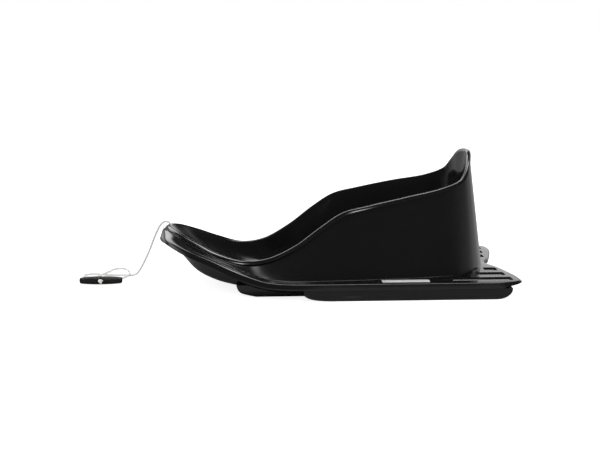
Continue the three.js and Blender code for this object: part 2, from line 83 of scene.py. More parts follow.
# Places along the sled, (length, half width, height), as shares of the driving sizes, from the
# middle of the nose round one side to the middle of the back.
RIM_SHARES = [
    (0.021, 0, 0.447), (0.049, 0.245, 0.423), (0.102, 0.405, 0.365), (0.163, 0.515, 0.296),
    (0.238, 0.545, 0.239), (0.303, 0.59, 0.259), (0.378, 0.665, 0.358), (0.449, 0.685, 0.498),
    (0.51, 0.67, 0.601), (0.586, 0.655, 0.652), (0.69, 0.62, 0.71), (0.788, 0.545, 0.761),
    (0.84, 0.515, 0.816), (0.862, 0.425, 0.904), (0.875, 0.26, 0.979), (0.885, 0, 1),
]
CREASE_SHARES = [
    (0.009, 0, 0.415), (0.04, 0.273, 0.392), (0.095, 0.443, 0.328), (0.159, 0.57, 0.256),
    (0.238, 0.68, 0.181), (0.303, 0.79, 0.138), (0.378, 0.835, 0.125), (0.449, 0.84, 0.125),
    (0.521, 0.82, 0.125), (0.602, 0.79, 0.125), (0.71, 0.735, 0.125), (0.81, 0.66, 0.125),
    (0.87, 0.56, 0.125), (0.901, 0.41, 0.125), (0.924, 0.2, 0.125), (0.932, 0, 0.125),
]
FOLD_SHARES = [
    (0.004, 0, 0.37), (0.025, 0.335, 0.373), (0.082, 0.57, 0.33), (0.154, 0.735, 0.273),
    (0.238, 0.88, 0.187), (0.303, 0.95, 0.137), (0.378, 0.985, 0.125), (0.449, 0.995, 0.125),
    (0.534, 0.995, 0.125), (0.625, 0.995, 0.125), (0.736, 0.995, 0.125), (0.846, 0.995, 0.125),
    (0.95, 0.982, 0.125), (0.993, 0.89, 0.125), (0.969, 0.25, 0.125), (0.944, 0, 0.125),
]
LIP_SHARES = [
    (0, 0, 0.342), (0.023, 0.345, 0.345), (0.078, 0.595, 0.294), (0.152, 0.755, 0.232),
    (0.238, 0.895, 0.143), (0.303, 0.965, 0.102), (0.378, 0.993, 0.092), (0.449, 1, 0.092),
    (0.534, 1, 0.092), (0.625, 1, 0.092), (0.736, 1, 0.092), (0.846, 1, 0.092),
    (0.952, 0.987, 0.092), (0.999, 0.9, 0.112), (0.971, 0.25, 0.093), (0.946, 0, 0.092),
]
FLOOR_SHARES = [
    (0.23, 0), (0.234, 0.14), (0.243, 0.27), (0.258, 0.375), (0.285, 0.445), (0.325, 0.49),
    (0.38, 0.53), (0.449, 0.55), (0.51, 0.555), (0.586, 0.54), (0.69, 0.505), (0.763, 0.45),
    (0.815, 0.37), (0.842, 0.27), (0.857, 0.13), (0.862, 0),
]
# The pan's edge follows the lip, apart from its last stations
PAN_TAIL_SHARES = [
    (0.95, 0.98, 0.092), (0.969, 0.89, 0.092), (0.96, 0.26, 0.092), (0.94, 0, 0.092),
]
PAN_SHELF_SHARES = [
    (0.045, 0, 0.31), (0.055, 0.27, 0.307), (0.093, 0.5, 0.272), (0.158, 0.67, 0.216),
    (0.24, 0.815, 0.131), (0.303, 0.855, 0.092), (0.378, 0.86, 0.08), (0.449, 0.86, 0.08),
    (0.534, 0.86, 0.08), (0.625, 0.86, 0.08), (0.736, 0.86, 0.08), (0.833, 0.86, 0.08),
    (0.9, 0.85, 0.08), (0.937, 0.79, 0.08), (0.943, 0.4, 0.08), (0.933, 0, 0.08),
]
PAN_BILGE_SHARES = [
    (0.073, 0, 0.185), (0.082, 0.21, 0.186), (0.109, 0.41, 0.148), (0.165, 0.58, 0.102),
    (0.242, 0.71, 0.076), (0.303, 0.79, 0.058), (0.378, 0.82, 0.048), (0.449, 0.825, 0.048),
    (0.534, 0.825, 0.048), (0.625, 0.825, 0.048), (0.736, 0.825, 0.048), (0.827, 0.825, 0.048),
    (0.89, 0.81, 0.048), (0.925, 0.74, 0.048), (0.935, 0.4, 0.048), (0.927, 0, 0.048),
]
PAN_BOTTOM_SHARES = [
    (0.138, 0, 0.064), (0.15, 0.15, 0.06), (0.169, 0.29, 0.053), (0.202, 0.42, 0.049),
    (0.247, 0.56, 0.043), (0.303, 0.69, 0.031), (0.378, 0.75, 0.024), (0.449, 0.76, 0.024),
    (0.534, 0.76, 0.024), (0.625, 0.76, 0.024), (0.736, 0.76, 0.024), (0.82, 0.76, 0.024),
    (0.876, 0.74, 0.024), (0.91, 0.65, 0.024), (0.921, 0.35, 0.024), (0.92, 0, 0.024),
]
# The tub's inner wall, (across, up), as shares of the way from its foot to its top
TUB_WALL_SHARES = [(0.855, 0.73), (0.6, 0.38), (0.25, 0.08)]

# Side views of the noses of a keel and a runner, (length, height), as shares of their sizes
KEEL_NOSE_SHARES = [(0, 1), (0.05, 0.64), (0.21, 0.32), (0.57, 0.14), (1, 0)]
RUNNER_NOSE_SHARES = [(0, 1), (0.07, 0.73), (0.21, 0.42), (0.43, 0.2), (0.71, 0.06), (1, 0)]

# Points of the rope in millimetres from the rim at the nose: over the rim, then down the front
# with the height as a share of the rim's, then through the loose pile with the height itself.
ROPE_OVER_RIM = [
    (7, 0, -13.8), (9.5, 0.2, -5), (7.1, 0.5, 1.6), (-2.1, 1.1, 5.8), (-10.3, 2, 2.2),
    (-16.1, 3.3, -5),
]
ROPE_DOWN = [
    (-23.1, 5.6, 0.859), (-31.1, 9, 0.718), (-40.1, 16, 0.542), (-51.1, 27, 0.355),
    (-63.1, 40, 0.176), (-74.1, 50, 0.061),
]
ROPE_PILE = [
    (-87.1, 56.5, 2.9), (-104.1, 61, 2.6), (-122.1, 62, 2.6), (-140.1, 65, 2.6),
    (-159.1, 73, 2.6), (-178.1, 76, 2.6), (-191.1, 68, 2.6), (-192.1, 54, 2.6),
    (-179.1, 44, 2.6), (-162.1, 44, 3.2), (-149.1, 53, 7.2), (-141.1, 66, 8.8),
    (-137.1, 82, 6.4), (-139.1, 102, 2.8), (-133.1, 122, 2.6), (-118.1, 131, 2.6),
    (-103.1, 122, 2.6), (-98.1, 104, 2.8), (-95.1, 84, 5.6), (-91.1, 65, 8.8),
    (-90.1, 49, 7.4), (-97.1, 35, 3.6), (-113.1, 27, 2.8), (-131.1, 22, 4.6),
    (-143.1, 13, 8), (-146.1, -1, 9), (-146.1, -20.1, 9),
]
HANDLE_CENTRE = (-146.13, -16, 9)


class Body(Enum):
    """Bodies of the frame that pieces ride on."""

    SLED = "sled"
    HANDLE = "handle"


class Slot(Enum):
    """Material slots of the record."""

    HULL = "hull_plastic"
    RUNNER = "runner_plastic"
    FILM = "pale_film"
    YARN = "rope_yarn"
    HANDLE = "handle_plastic"


# Curves and rings


def from_nose(station: float) -> float:
    """Place along X of a station, both in metres."""
    return station - HULL_LENGTH / 2


def placed(share: Share) -> Vector:
    """Point of a station given as shares of the driving sizes."""
    along, across, up = share
    return Vector((from_nose(along * HULL_LENGTH), across * HULL_WIDTH / 2, up * HULL_HEIGHT))


def spline_point(points: list[Vector], first: int, share: float, closed: bool) -> Vector:
    """Point on a centripetal Catmull-Rom curve.

    Args:
        points: The points that the curve goes through.
        first: Index of the point before the place.
        share: How far the place is from that point to the next, from 0 to 1.
        closed: Whether the last point joins the first.

    Returns:
        The point on the curve.
    """
    count = len(points)
    if closed:
        p0, p1, p2, p3 = (points[(first + step) % count] for step in (-1, 0, 1, 2))
    else:
        p1, p2 = points[first], points[first + 1]
        p0 = points[first - 1] if first else 2 * p1 - p2
        p3 = points[first + 2] if first + 2 < count else 2 * p2 - p1
    d0, d1, d2 = (max((b - a).length, WELD) ** 0.5 for a, b in ((p0, p1), (p1, p2), (p2, p3)))
    t1 = ((p1 - p0) / d0 - (p2 - p0) / (d0 + d1) + (p2 - p1) / d1) * d1
    t2 = ((p2 - p1) / d1 - (p3 - p1) / (d1 + d2) + (p3 - p2) / d2) * d1
    return (p1 + share * t1 + share ** 2 * (3 * (p2 - p1) - 2 * t1 - t2)
            + share ** 3 * (2 * (p1 - p2) + t1 + t2))


def outline(points: list[Vector], steps: int) -> Ring:
    """Closed ring through one side's stations and their mirror images."""
    mirrored = [Vector((p.x, -p.y, p.z)) for p in reversed(points[1:-1])]
    loop = [*points, *mirrored]
    ring = [spline_point(loop, i // steps, (i % steps) / steps, True)
            for i in range(len(loop) * steps)]
    ring[0].y = ring[len(ring) // 2].y = 0
    return ring


def resampled(points: list[Vector], spacing: float, steps: int = 40) -> list[Vector]:
    """Open curve through points, walked at an even spacing along its length."""
    fine = [spline_point(points, i, s / steps, False)
            for i in range(len(points) - 1) for s in range(steps)] + [points[-1]]
    lengths = [0.0]
    for a, b in zip(fine, fine[1:]):
        lengths.append(lengths[-1] + (b - a).length)
    count = max(2, round(lengths[-1] / spacing))
    walked, at = [], 0
    for i in range(count + 1):
        goal = lengths[-1] * i / count
        while at < len(fine) - 2 and lengths[at + 1] < goal:
            at += 1
        part = (goal - lengths[at]) / max(lengths[at + 1] - lengths[at], WELD)
        walked.append(fine[at].lerp(fine[at + 1], min(part, 1.0)))
    return walked


def swept(shares: list[Share], steps: int = 4) -> list[tuple[float, float]]:
    """Smooth side view through a few points given as shares."""
    points = [Vector((along, up, 0)) for along, up in shares]
    line = [spline_point(points, i, step / steps, False)
            for i in range(len(points) - 1) for step in range(steps)] + [points[-1]]
    return [(point.x, point.y) for point in line]


def round_tail(rear: float, length: float, height: float, steps: int) -> list[tuple[float, float]]:
    """Side view of a round end, in X and Z, from the ground up to its rear."""
    points = []
    for step in range(steps + 1):
        turn = math.pi / 2 * step / steps
        points.append((from_nose(rear - length * (1 - math.sin(turn))),
                       height * (1 - math.cos(turn))))
    return points


def curve_length(points: list[Vector]) -> float:
    """Length of a run of points."""
    return sum((b - a).length for a, b in zip(points, points[1:]))


@dataclass
class Loft:
    """Rows of matched rings, with the moves that shape a formed skin.

    Attributes:
        steps: Points from one station to the next.
    """

    steps: int = 12

    def ring(self, shares: list[Share], level: float = 0.0) -> Ring:
        """Ring of a station table, kept at or above a level."""
        return [Vector((p.x, p.y, max(p.z, level)))
                for p in outline([placed(s) for s in shares], self.steps)]

    def beside(self, ring: Ring, outward: float | list[float],
               downward: float | list[float]) -> Ring:
        """Ring moved square to itself, out of the sled and down, evenly or point by point."""
        outs = outward if isinstance(outward, list) else [outward] * len(ring)
        downs = downward if isinstance(downward, list) else [downward] * len(ring)
        moved = []
        for i, point in enumerate(ring):
            along = (ring[(i + 1) % len(ring)] - ring[i - 1]).normalized()
            out = Vector((-along.y, along.x, 0)).normalized()
            moved.append(point + out * outs[i] + out.cross(along) * downs[i])
        return moved

    def between(self, ring: Ring, other: Ring, share: float) -> Ring:
        """Ring part of the way from one ring to another."""
        return [a.lerp(b, share) for a, b in zip(ring, other)]

    def nearness(self, full: float, none: float) -> list[float]:
        """Share of each point in what belongs to one end of the sled.

        Args:
            full: Station where the share reaches 1, and stays so up to the end.
            none: Station where it is 0, and stays so up to the other end.

        Returns:
            The shares, easing from 1 to 0 on both sides of the sled.
        """
        count = 2 * (len(RIM_SHARES) - 1) * self.steps
        shares = []
        for i in range(count):
            past = (min(i, count - i) / self.steps - full) / (none - full)
            past = min(1.0, max(0.0, past))
            shares.append(1 - past * past * (3 - 2 * past))
        return shares

    def rounded(self, rows: list[Ring], radii: list[float | list[float]],
                steps: int = 5) -> list[Ring]:
        """Rows with each inner row's corner cut round.

        Args:
            rows: The rings, from one edge of the skin to the other.
            radii: How far each corner's round reaches along the skin, for a whole ring or for
                each of its points; 0 leaves a ring sharp.
            steps: Pieces in each round.

        Returns:
            The rings with the rounds in place of their corners.
        """
        result = [rows[0]]
        for row in range(1, len(rows) - 1):
            if radii[row] == 0:
                result.append(rows[row])
                continue
            reach = radii[row] if isinstance(radii[row], list) else [radii[row]] * len(rows[row])
            for step in range(steps + 1):
                share = step / steps
                ring = []
                corners = zip(rows[row - 1], rows[row], rows[row + 1], reach)
                for before, corner, after, radius in corners:
                    start = self.cut(corner, before, radius)
                    end = self.cut(corner, after, radius)
                    ring.append(start.lerp(corner, share).lerp(corner.lerp(end, share), share))
                result.append(ring)
        return [*result, rows[-1]]

    def cut(self, corner: Vector, other: Vector, reach: float) -> Vector:
        """Point a way from a corner towards its neighbour, at most to the middle."""
        step = other - corner
        return corner + step * min(0.5, reach / max(step.length, WELD))

    def dished(self, edge: Ring, depth: float, rows: int = 9) -> list[Ring]:
        """Rows from an edge to the centreline, sunk by an even dish."""
        widest = max(point.y for point in edge)
        result = []
        for row in range(1, rows + 1):
            across = 1 - row / rows
            sunk = (1 - across ** 2) * depth
            result.append([Vector((p.x, p.y * across, p.z - sunk * abs(p.y) / widest))
                           for p in edge])
        return result

    def offset(self, rows: list[Ring], distance: float) -> list[Ring]:
        """Rows of a sheet moved square to it."""
        moved = []
        for r, row in enumerate(rows):
            above, below = rows[max(r - 1, 0)], rows[min(r + 1, len(rows) - 1)]
            ring = []
            for i, point in enumerate(row):
                around = row[(i + 1) % len(row)] - row[i - 1]
                normal = around.cross(below[i] - above[i]).normalized()
                spot = point + normal * distance
                if abs(point.y) < WELD:
                    spot.y = 0
                ring.append(spot)
            moved.append(ring)
        return moved


# Meshes and operators


def deselect() -> None:
    """Leave nothing selected, so that an operator acts on the new piece alone."""
    if bpy.context.object and bpy.context.object.mode != "OBJECT":
        bpy.ops.object.mode_set(mode="OBJECT")
    bpy.ops.object.select_all(action="DESELECT")


def choose(piece: bpy.types.Object) -> None:
    """Select one piece alone and make it active."""
    deselect()
    piece.select_set(True)
    bpy.context.view_layer.objects.active = piece


def new_object(name: str, data: bpy.types.ID) -> bpy.types.Object:
    """Object that holds the data, linked to the scene."""
    made = bpy.data.objects.new(name, data)
    bpy.context.scene.collection.objects.link(made)
    return made


def piece_from_shape(name: str, shape: bmesh.types.BMesh) -> bpy.types.Object:
    """Piece with a finished shape, which is freed."""
    mesh = bpy.data.meshes.new(name)
    shape.to_mesh(mesh)
    shape.free()
    return new_object(name, mesh)


def join_rows(shape: bmesh.types.BMesh, verts: list[list[bmesh.types.BMVert]],
              looped: bool) -> None:
    """Add the faces between neighbouring rings of vertices."""
    pairs = list(zip(verts, verts[1:]))
    if looped:
        pairs.append((verts[-1], verts[0]))
    for here, there in pairs:
        for i in range(len(here)):
            j = (i + 1) % len(here)
            shape.faces.new((here[i], here[j], there[j], there[i]))


def piece_from_rows(name: str, rows: list[Ring], looped: bool = False,
                    caps: tuple[int, ...] = ()) -> bpy.types.Object:
    """Closed mesh between neighbouring rings.

    Args:
        name: Name of the piece.
        rows: The rings, all with the same number of points.
        looped: Whether the last ring joins the first.
        caps: Which flat rings are each closed by one face. A fan to the centreline would fold
            over itself where the ring runs back along the sled, as at the tail's notch.

    Returns:
        The piece, merged and with its faces pointing outwards.
    """
    grid = bmesh.new()
    verts = [[grid.verts.new(point) for point in row] for row in rows]
    join_rows(grid, verts, looped)
    for cap in caps:
        grid.faces.new(verts[cap])
    bmesh.ops.remove_doubles(grid, verts=grid.verts, dist=10 * WELD)
    bmesh.ops.dissolve_degenerate(grid, edges=grid.edges, dist=WELD)
    bmesh.ops.recalc_face_normals(grid, faces=grid.faces)
    if grid.calc_volume(signed=True) < 0:
        bmesh.ops.reverse_faces(grid, faces=grid.faces)
    return piece_from_shape(name, grid)


def settle(piece: bpy.types.Object) -> None:
    """Put a piece's place into its mesh, with its object at the origin."""
    choose(piece)
    bpy.ops.object.transform_apply(location=True, rotation=True, scale=True)


def smooth(piece: bpy.types.Object, angle: float = 35) -> None:
    """Shade a piece smooth, sharp past an angle in degrees."""
    choose(piece)
    bpy.ops.object.shade_smooth_by_angle(angle=math.radians(angle), keep_sharp_edges=False)


def apply_modifier(piece: bpy.types.Object, kind: str, **settings: object) -> None:
    """Add a modifier with its settings and apply it at once."""
    choose(piece)
    modifier = piece.modifiers.new(kind.title(), kind)
    for name, value in settings.items():
        setattr(modifier, name, value)
    bpy.ops.object.modifier_apply(modifier=modifier.name)


def combine(piece: bpy.types.Object, tool: bpy.types.Object, operation: str) -> None:
    """Join, cut or intersect a piece with another, which is deleted."""
    apply_modifier(piece, "BOOLEAN", operation=operation, object=tool, solver="EXACT")
    bpy.data.meshes.remove(tool.data)


def select_where(piece: bpy.types.Object, kind: str, test: Callable[[object], bool]) -> None:
    """Select the vertices, edges or faces of the piece in edit mode that pass a test.

    Args:
        piece: The active piece, in edit mode.
        kind: "VERT", "EDGE" or "FACE".
        test: Takes an element and says whether it is selected.
    """
    bpy.ops.mesh.select_mode(type=kind)
    bpy.ops.mesh.select_all(action="DESELECT")
    shape = bmesh.from_edit_mesh(piece.data)
    elements = {"VERT": shape.verts, "EDGE": shape.edges, "FACE": shape.faces}[kind]
    for element in elements:
        if test(element):
            element.select_set(True)
    shape.select_flush_mode()
    bmesh.update_edit_mesh(piece.data)


# Finishes


@dataclass
class NodeTable:
    """Places the nodes of one tree and joins their sockets."""

    tree: bpy.types.NodeTree
    placed: int = 0

    def add(self, kind: str, **values: object) -> bpy.types.Node:
        """Add a node; a value named after a socket sets the socket, any other the node."""
        node = self.tree.nodes.new(kind)
        node.location = (180 * (self.placed % 8), -220 * (self.placed // 8))
        self.placed += 1
        for name, value in values.items():
            socket = node.inputs.get(name.replace("_", " "))
            if socket is not None:
                socket.default_value = value
            else:
                setattr(node, name, value)
        return node

    def join(self, start: bpy.types.NodeSocket, end: bpy.types.NodeSocket) -> None:
        """Link an output to an input."""
        self.tree.links.new(start, end)

    def math(self, operation: str, first: object, second: object) -> bpy.types.NodeSocket:
        """Add a Math node on two sockets or numbers.

        Returns:
            Its output.
        """
        node = self.add("ShaderNodeMath", operation=operation)
        for socket, value in zip(node.inputs, (first, second)):
            if isinstance(value, bpy.types.NodeSocket):
                self.join(value, socket)
            else:
                socket.default_value = value
        return node.outputs[0]

    def ramp(self, value: bpy.types.NodeSocket, low: float, high: float,
             to_low: float = 0.0, to_high: float = 1.0) -> bpy.types.NodeSocket:
        """Stretch a value from one range to another, clamped.

        Returns:
            The stretched value.
        """
        node = self.add("ShaderNodeMapRange", From_Min=low, From_Max=high,
                        To_Min=to_low, To_Max=to_high)
        self.join(value, node.inputs["Value"])
        return node.outputs["Result"]

    def mix(self, share: bpy.types.NodeSocket, first: Share, second: Share) -> bpy.types.NodeSocket:
        """Blend two colours by a mask.

        Returns:
            The blended colour.
        """
        node = self.add("ShaderNodeMix", data_type="RGBA")
        node.inputs[6].default_value = first
        node.inputs[7].default_value = second
        self.join(share, node.inputs[0])
        return node.outputs[2]

    def bump(self, height: bpy.types.NodeSocket, distance: float,
             strength: float = 1.0) -> bpy.types.NodeSocket:
        """Turn a height into a normal.

        Returns:
            The normal.
        """
        node = self.add("ShaderNodeBump", Strength=strength, Distance=distance)
        self.join(height, node.inputs["Height"])
        return node.outputs["Normal"]


def new_group(name: str, inputs: dict[str, float], outputs: list[str]) -> bpy.types.NodeTree:
    """Shader node group with a Vector, some numbers and some values out.

    Args:
        name: Name of the group.
        inputs: Named numbers with their defaults.
        outputs: Names of the values that it puts out.

    Returns:
        The group's tree, with its input and output nodes.
    """
    tree = bpy.data.node_groups.new(name, "ShaderNodeTree")
    tree.interface.new_socket("Vector", in_out="INPUT", socket_type="NodeSocketVector")
    for label, value in inputs.items():
        socket = tree.interface.new_socket(label, in_out="INPUT", socket_type="NodeSocketFloat")
        socket.default_value = value
    for label in outputs:
        tree.interface.new_socket(label, in_out="OUTPUT", socket_type="NodeSocketFloat")
    tree.nodes.new("NodeGroupInput")
    tree.nodes.new("NodeGroupOutput")
    return tree


def new_material(name: str) -> tuple[bpy.types.Material, NodeTable]:
    """Material with nodes, and the table that places more of them."""
    material = bpy.data.materials.new(name)
    material.use_nodes = True
    return material, NodeTable(material.node_tree)


@dataclass
class Effects:
    """Shared effects, each a node group that is built once.

    Attributes:
        fine_share: Height of the fine grain, as a share of the broad ripple's.
        tone_range: Heights of the ripple where its tone is 0 and where it is 1.
        hairlines: Turn of each set of hairlines, and how much it is squeezed along each axis.
        hairline_range: Noise where a hairline begins and where it is full.
        patch_scale: Scale of the patches that have hairlines.
        patch_range: Noise where a patch begins and where it is full.
        rub_range: Shares of the height where the rub is full and where it ends.
        rub_squeeze: How little the streaks of the rub change along the sled.
        streak_range: Noise where a streak begins and where it is full.
        streak_least: The rub between streaks.
        groups: The groups by name.
    """

    fine_share: float = 0.3
    tone_range: tuple[float, float] = (0.3, 0.7)
    hairlines: tuple[tuple[float, Share], ...] = (
        (0.35, (6.0, 260.0, 260.0)), (-0.8, (5.0, 330.0, 300.0)))
    hairline_range: tuple[float, float] = (0.66, 0.72)
    patch_scale: float = 9.0
    patch_range: tuple[float, float] = (0.45, 0.65)
    rub_range: tuple[float, float] = (0.2, 1.0)
    rub_squeeze: float = 0.04
    streak_range: tuple[float, float] = (0.35, 0.65)
    streak_least: float = 0.25
    groups: dict[str, bpy.types.NodeTree] = field(default_factory=dict)

    def build(self) -> None:
        """Build every group."""
        self.groups["grain"] = self.mould_grain()
        self.groups["marks"] = self.handling_marks()
        self.groups["rub"] = self.ground_rub()

    def place(self, table: NodeTable, name: str, vector: bpy.types.NodeSocket,
              **values: float) -> bpy.types.Node:
        """Place a group in a material with its own values.

        Returns:
            The group node.
        """
        node = table.add("ShaderNodeGroup")
        node.node_tree = self.groups[name]
        table.join(vector, node.inputs["Vector"])
        for label, value in values.items():
            node.inputs[label].default_value = value
        return node

    def mould_grain(self) -> bpy.types.NodeTree:
        """Faint ripple of a formed skin and the fine grain of its mould.

        Returns:
            The group, with Height and Tone.
        """
        tree = new_group("mould_grain", {"Fine": 900.0, "Broad": 28.0}, ["Height", "Tone"])
        table = NodeTable(tree)
        given, result = tree.nodes["Group Input"], tree.nodes["Group Output"]
        fine = table.add("ShaderNodeTexNoise", Detail=3.0, Roughness=0.6)
        broad = table.add("ShaderNodeTexNoise", Detail=2.0, Roughness=0.5)
        for node, scale in ((fine, "Fine"), (broad, "Broad")):
            table.join(given.outputs["Vector"], node.inputs["Vector"])
            table.join(given.outputs[scale], node.inputs["Scale"])
        height = table.math("MULTIPLY_ADD", fine.outputs["Fac"], self.fine_share)
        table.join(broad.outputs["Fac"], height.node.inputs[2])
        table.join(height, result.inputs["Height"])
        table.join(table.ramp(broad.outputs["Fac"], *self.tone_range), result.inputs["Tone"])
        return tree

    def handling_marks(self) -> bpy.types.NodeTree:
        """Hairline scratches in two directions, in patches.

        Returns:
            The group, with Mask.
        """
        tree = new_group("handling_marks", {"Density": 0.5}, ["Mask"])
        table = NodeTable(tree)
        given, result = tree.nodes["Group Input"], tree.nodes["Group Output"]
        lines = []
        for turn, stretch in self.hairlines:
            mapping = table.add("ShaderNodeMapping", Rotation=(0.2, turn, turn), Scale=stretch)
            noise = table.add("ShaderNodeTexNoise", Scale=1.0, Detail=1.0)
            table.join(given.outputs["Vector"], mapping.inputs["Vector"])
            table.join(mapping.outputs["Vector"], noise.inputs["Vector"])
            lines.append(table.ramp(noise.outputs["Fac"], *self.hairline_range))
        patch = table.add("ShaderNodeTexNoise", Scale=self.patch_scale, Detail=2.0)
        table.join(given.outputs["Vector"], patch.inputs["Vector"])
        where = table.ramp(patch.outputs["Fac"], *self.patch_range)
        both = table.math("MAXIMUM", lines[0], lines[1])
        seen = table.math("MULTIPLY", both, where)
        mask = table.math("MULTIPLY", seen, given.outputs["Density"])
        table.join(mask, result.inputs["Mask"])
        return tree

    def ground_rub(self) -> bpy.types.NodeTree:
        """Dull rubbed streaks on what slides on the ground.

        Returns:
            The group, with Mask.
        """
        tree = new_group("ground_rub", {"Height": 0.004, "Streaks": 220.0}, ["Mask"])
        table = NodeTable(tree)
        given, result = tree.nodes["Group Input"], tree.nodes["Group Output"]
        parts = table.add("ShaderNodeSeparateXYZ")
        table.join(given.outputs["Vector"], parts.inputs[0])
        share = table.math("DIVIDE", parts.outputs["Z"], given.outputs["Height"])
        low = table.ramp(share, *self.rub_range, to_low=1.0, to_high=0.0)
        squeezed = table.add("ShaderNodeMapping", Scale=(self.rub_squeeze, 1.0, 1.0))
        noise = table.add("ShaderNodeTexNoise", Detail=2.0)
        table.join(given.outputs["Vector"], squeezed.inputs["Vector"])
        table.join(squeezed.outputs["Vector"], noise.inputs["Vector"])
        table.join(given.outputs["Streaks"], noise.inputs["Scale"])
        streaks = table.ramp(noise.outputs["Fac"], *self.streak_range, self.streak_least)
        table.join(table.math("MULTIPLY", low, streaks), result.inputs["Mask"])
        return tree


@dataclass(frozen=True)
class PlasticFinish:
    """Black moulded plastic.

    Attributes:
        name: Name of the material.
        colour: Its own colour.
        marked: Its colour where it is scratched or rubbed.
        roughness: Lowest and highest roughness of the clean surface.
        grain: Depth of the mould's grain, in metres.
        fine: Scale of the fine grain.
        density: How much the hairlines show.
        specular: Strength of its plain reflection.
        worn_roughness: How much rougher it is where it is scratched or rubbed.
        score: Height of a hairline, as a share of the grain's depth.
    """

    name: str
    colour: Share
    marked: Share
    roughness: tuple[float, float]
    grain: float
    fine: float
    density: float
    specular: float = 0.5
    worn_roughness: float = 0.25
    score: float = -0.15

    def material(self, effects: Effects) -> bpy.types.Material:
        """Build the material.

        Returns:
            The material, for a piece whose mesh holds its place.
        """
        material, table = new_material(self.name)
        shader = material.node_tree.nodes["Principled BSDF"]
        shader.inputs["Specular IOR Level"].default_value = self.specular
        spot = table.add("ShaderNodeTexCoord").outputs["Object"]
        grain = effects.place(table, "grain", spot, Fine=self.fine)
        marks = effects.place(table, "marks", spot, Density=self.density)
        rub = effects.place(table, "rub", spot)
        worn = table.math("MAXIMUM", marks.outputs["Mask"], rub.outputs["Mask"])
        clean = table.ramp(grain.outputs["Tone"], 0.0, 1.0, *self.roughness)
        extra = table.math("MULTIPLY", worn, self.worn_roughness)
        table.join(table.mix(worn, self.colour, self.marked), shader.inputs["Base Color"])
        table.join(table.math("ADD", clean, extra), shader.inputs["Roughness"])
        scored = table.math("MULTIPLY", marks.outputs["Mask"], self.score)
        height = table.math("ADD", grain.outputs["Height"], scored)
        table.join(table.bump(height, self.grain), shader.inputs["Normal"])
        return material


@dataclass(frozen=True)
class YarnFinish:
    """White braided yarn with a fine fuzz, and shade painted between its strands.

    Attributes:
        name: Name of the material.
        light: Its colour on top of the strands, the lit copy of the painted shading.
        shaded: Painted shade between the strands, a darker copy of its colour.
        roughness: Roughness of the yarn.
        sheen: Strength of the sheen of its fibres.
        sheen_roughness: Roughness of that sheen.
        fuzz: Scale of the fuzz.
        fuzz_tone: How much the fuzz lightens the colour.
        fuzz_depth: Depth of the fuzz, in metres.
    """

    name: str = "white_braid"
    light: Share = (0.86, 0.86, 0.85, 1)
    shaded: Share = (0.76, 0.76, 0.75, 1)
    roughness: float = 0.82
    sheen: float = 0.35
    sheen_roughness: float = 0.5
    fuzz: float = 2600.0
    fuzz_tone: float = 0.35
    fuzz_depth: float = 0.15 * MM

    def material(self) -> bpy.types.Material:
        """Build the material, which reads the braid's own attributes and paints shade where the
        strands are low.

        Returns:
            The material.
        """
        material, table = new_material(self.name)
        shader = material.node_tree.nodes["Principled BSDF"]
        shader.inputs["Roughness"].default_value = self.roughness
        shader.inputs["Sheen Weight"].default_value = self.sheen
        shader.inputs["Sheen Roughness"].default_value = self.sheen_roughness
        depth = table.add("ShaderNodeAttribute", attribute_name="strand_height")
        spot = table.add("ShaderNodeTexCoord").outputs["Object"]
        fuzz = table.add("ShaderNodeTexNoise", Scale=self.fuzz, Detail=2.0)
        table.join(spot, fuzz.inputs["Vector"])
        tone = table.math("MULTIPLY", fuzz.outputs["Fac"], self.fuzz_tone)
        lit = table.math("ADD", depth.outputs["Fac"], tone)
        # Painted shade: the colour runs from the lit copy on the strands' tops to the darker shaded
        # copy between them
        table.join(table.mix(table.ramp(lit, 0.1, 1.0), self.shaded, self.light),
                   shader.inputs["Base Color"])
        table.join(table.bump(fuzz.outputs["Fac"], self.fuzz_depth), shader.inputs["Normal"])
        return material


@dataclass(frozen=True)
class FilmFinish:
    """Pale plain film, slightly clouded.

    Attributes:
        name: Name of the material.
        light: Its colour where it is clear.
        cloudy: Its colour where it is clouded or scratched.
        roughness: Lowest and highest roughness.
        fine: Scale of its fine grain.
        broad: Scale of its clouds.
        density: How much the hairlines show.
        grain: Depth of its grain, in metres.
    """

    name: str = "pale_film"
    light: Share = (0.86, 0.86, 0.87, 1)
    cloudy: Share = (0.72, 0.72, 0.74, 1)
    roughness: tuple[float, float] = (0.28, 0.42)
    fine: float = 1500.0
    broad: float = 90.0
    density: float = 0.4
    grain: float = 0.05 * MM

    def material(self, effects: Effects) -> bpy.types.Material:
        """Build the material.

        Returns:
            The material.
        """
        material, table = new_material(self.name)
        shader = material.node_tree.nodes["Principled BSDF"]
        spot = table.add("ShaderNodeTexCoord").outputs["Object"]
        grain = effects.place(table, "grain", spot, Fine=self.fine, Broad=self.broad)
        marks = effects.place(table, "marks", spot, Density=self.density)
        tone = table.math("MAXIMUM", grain.outputs["Tone"], marks.outputs["Mask"])
        table.join(table.mix(tone, self.light, self.cloudy), shader.inputs["Base Color"])
        table.join(table.ramp(tone, 0.0, 1.0, *self.roughness), shader.inputs["Roughness"])
        table.join(table.bump(grain.outputs["Height"], self.grain), shader.inputs["Normal"])
        return material


def dress(piece: bpy.types.Object, material: bpy.types.Material, slot: Slot,
          body: Body, *nodes: str) -> None:
    """Give a piece its finish, the body it rides on and the nodes it stands for."""
    piece.data.materials.clear()
    piece.data.materials.append(material)
    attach(piece, body.value)
    if nodes:
        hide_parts(*nodes)
    LOG.info("%s: %d faces", piece.name, len(piece.data.polygons))


# The sled's pieces


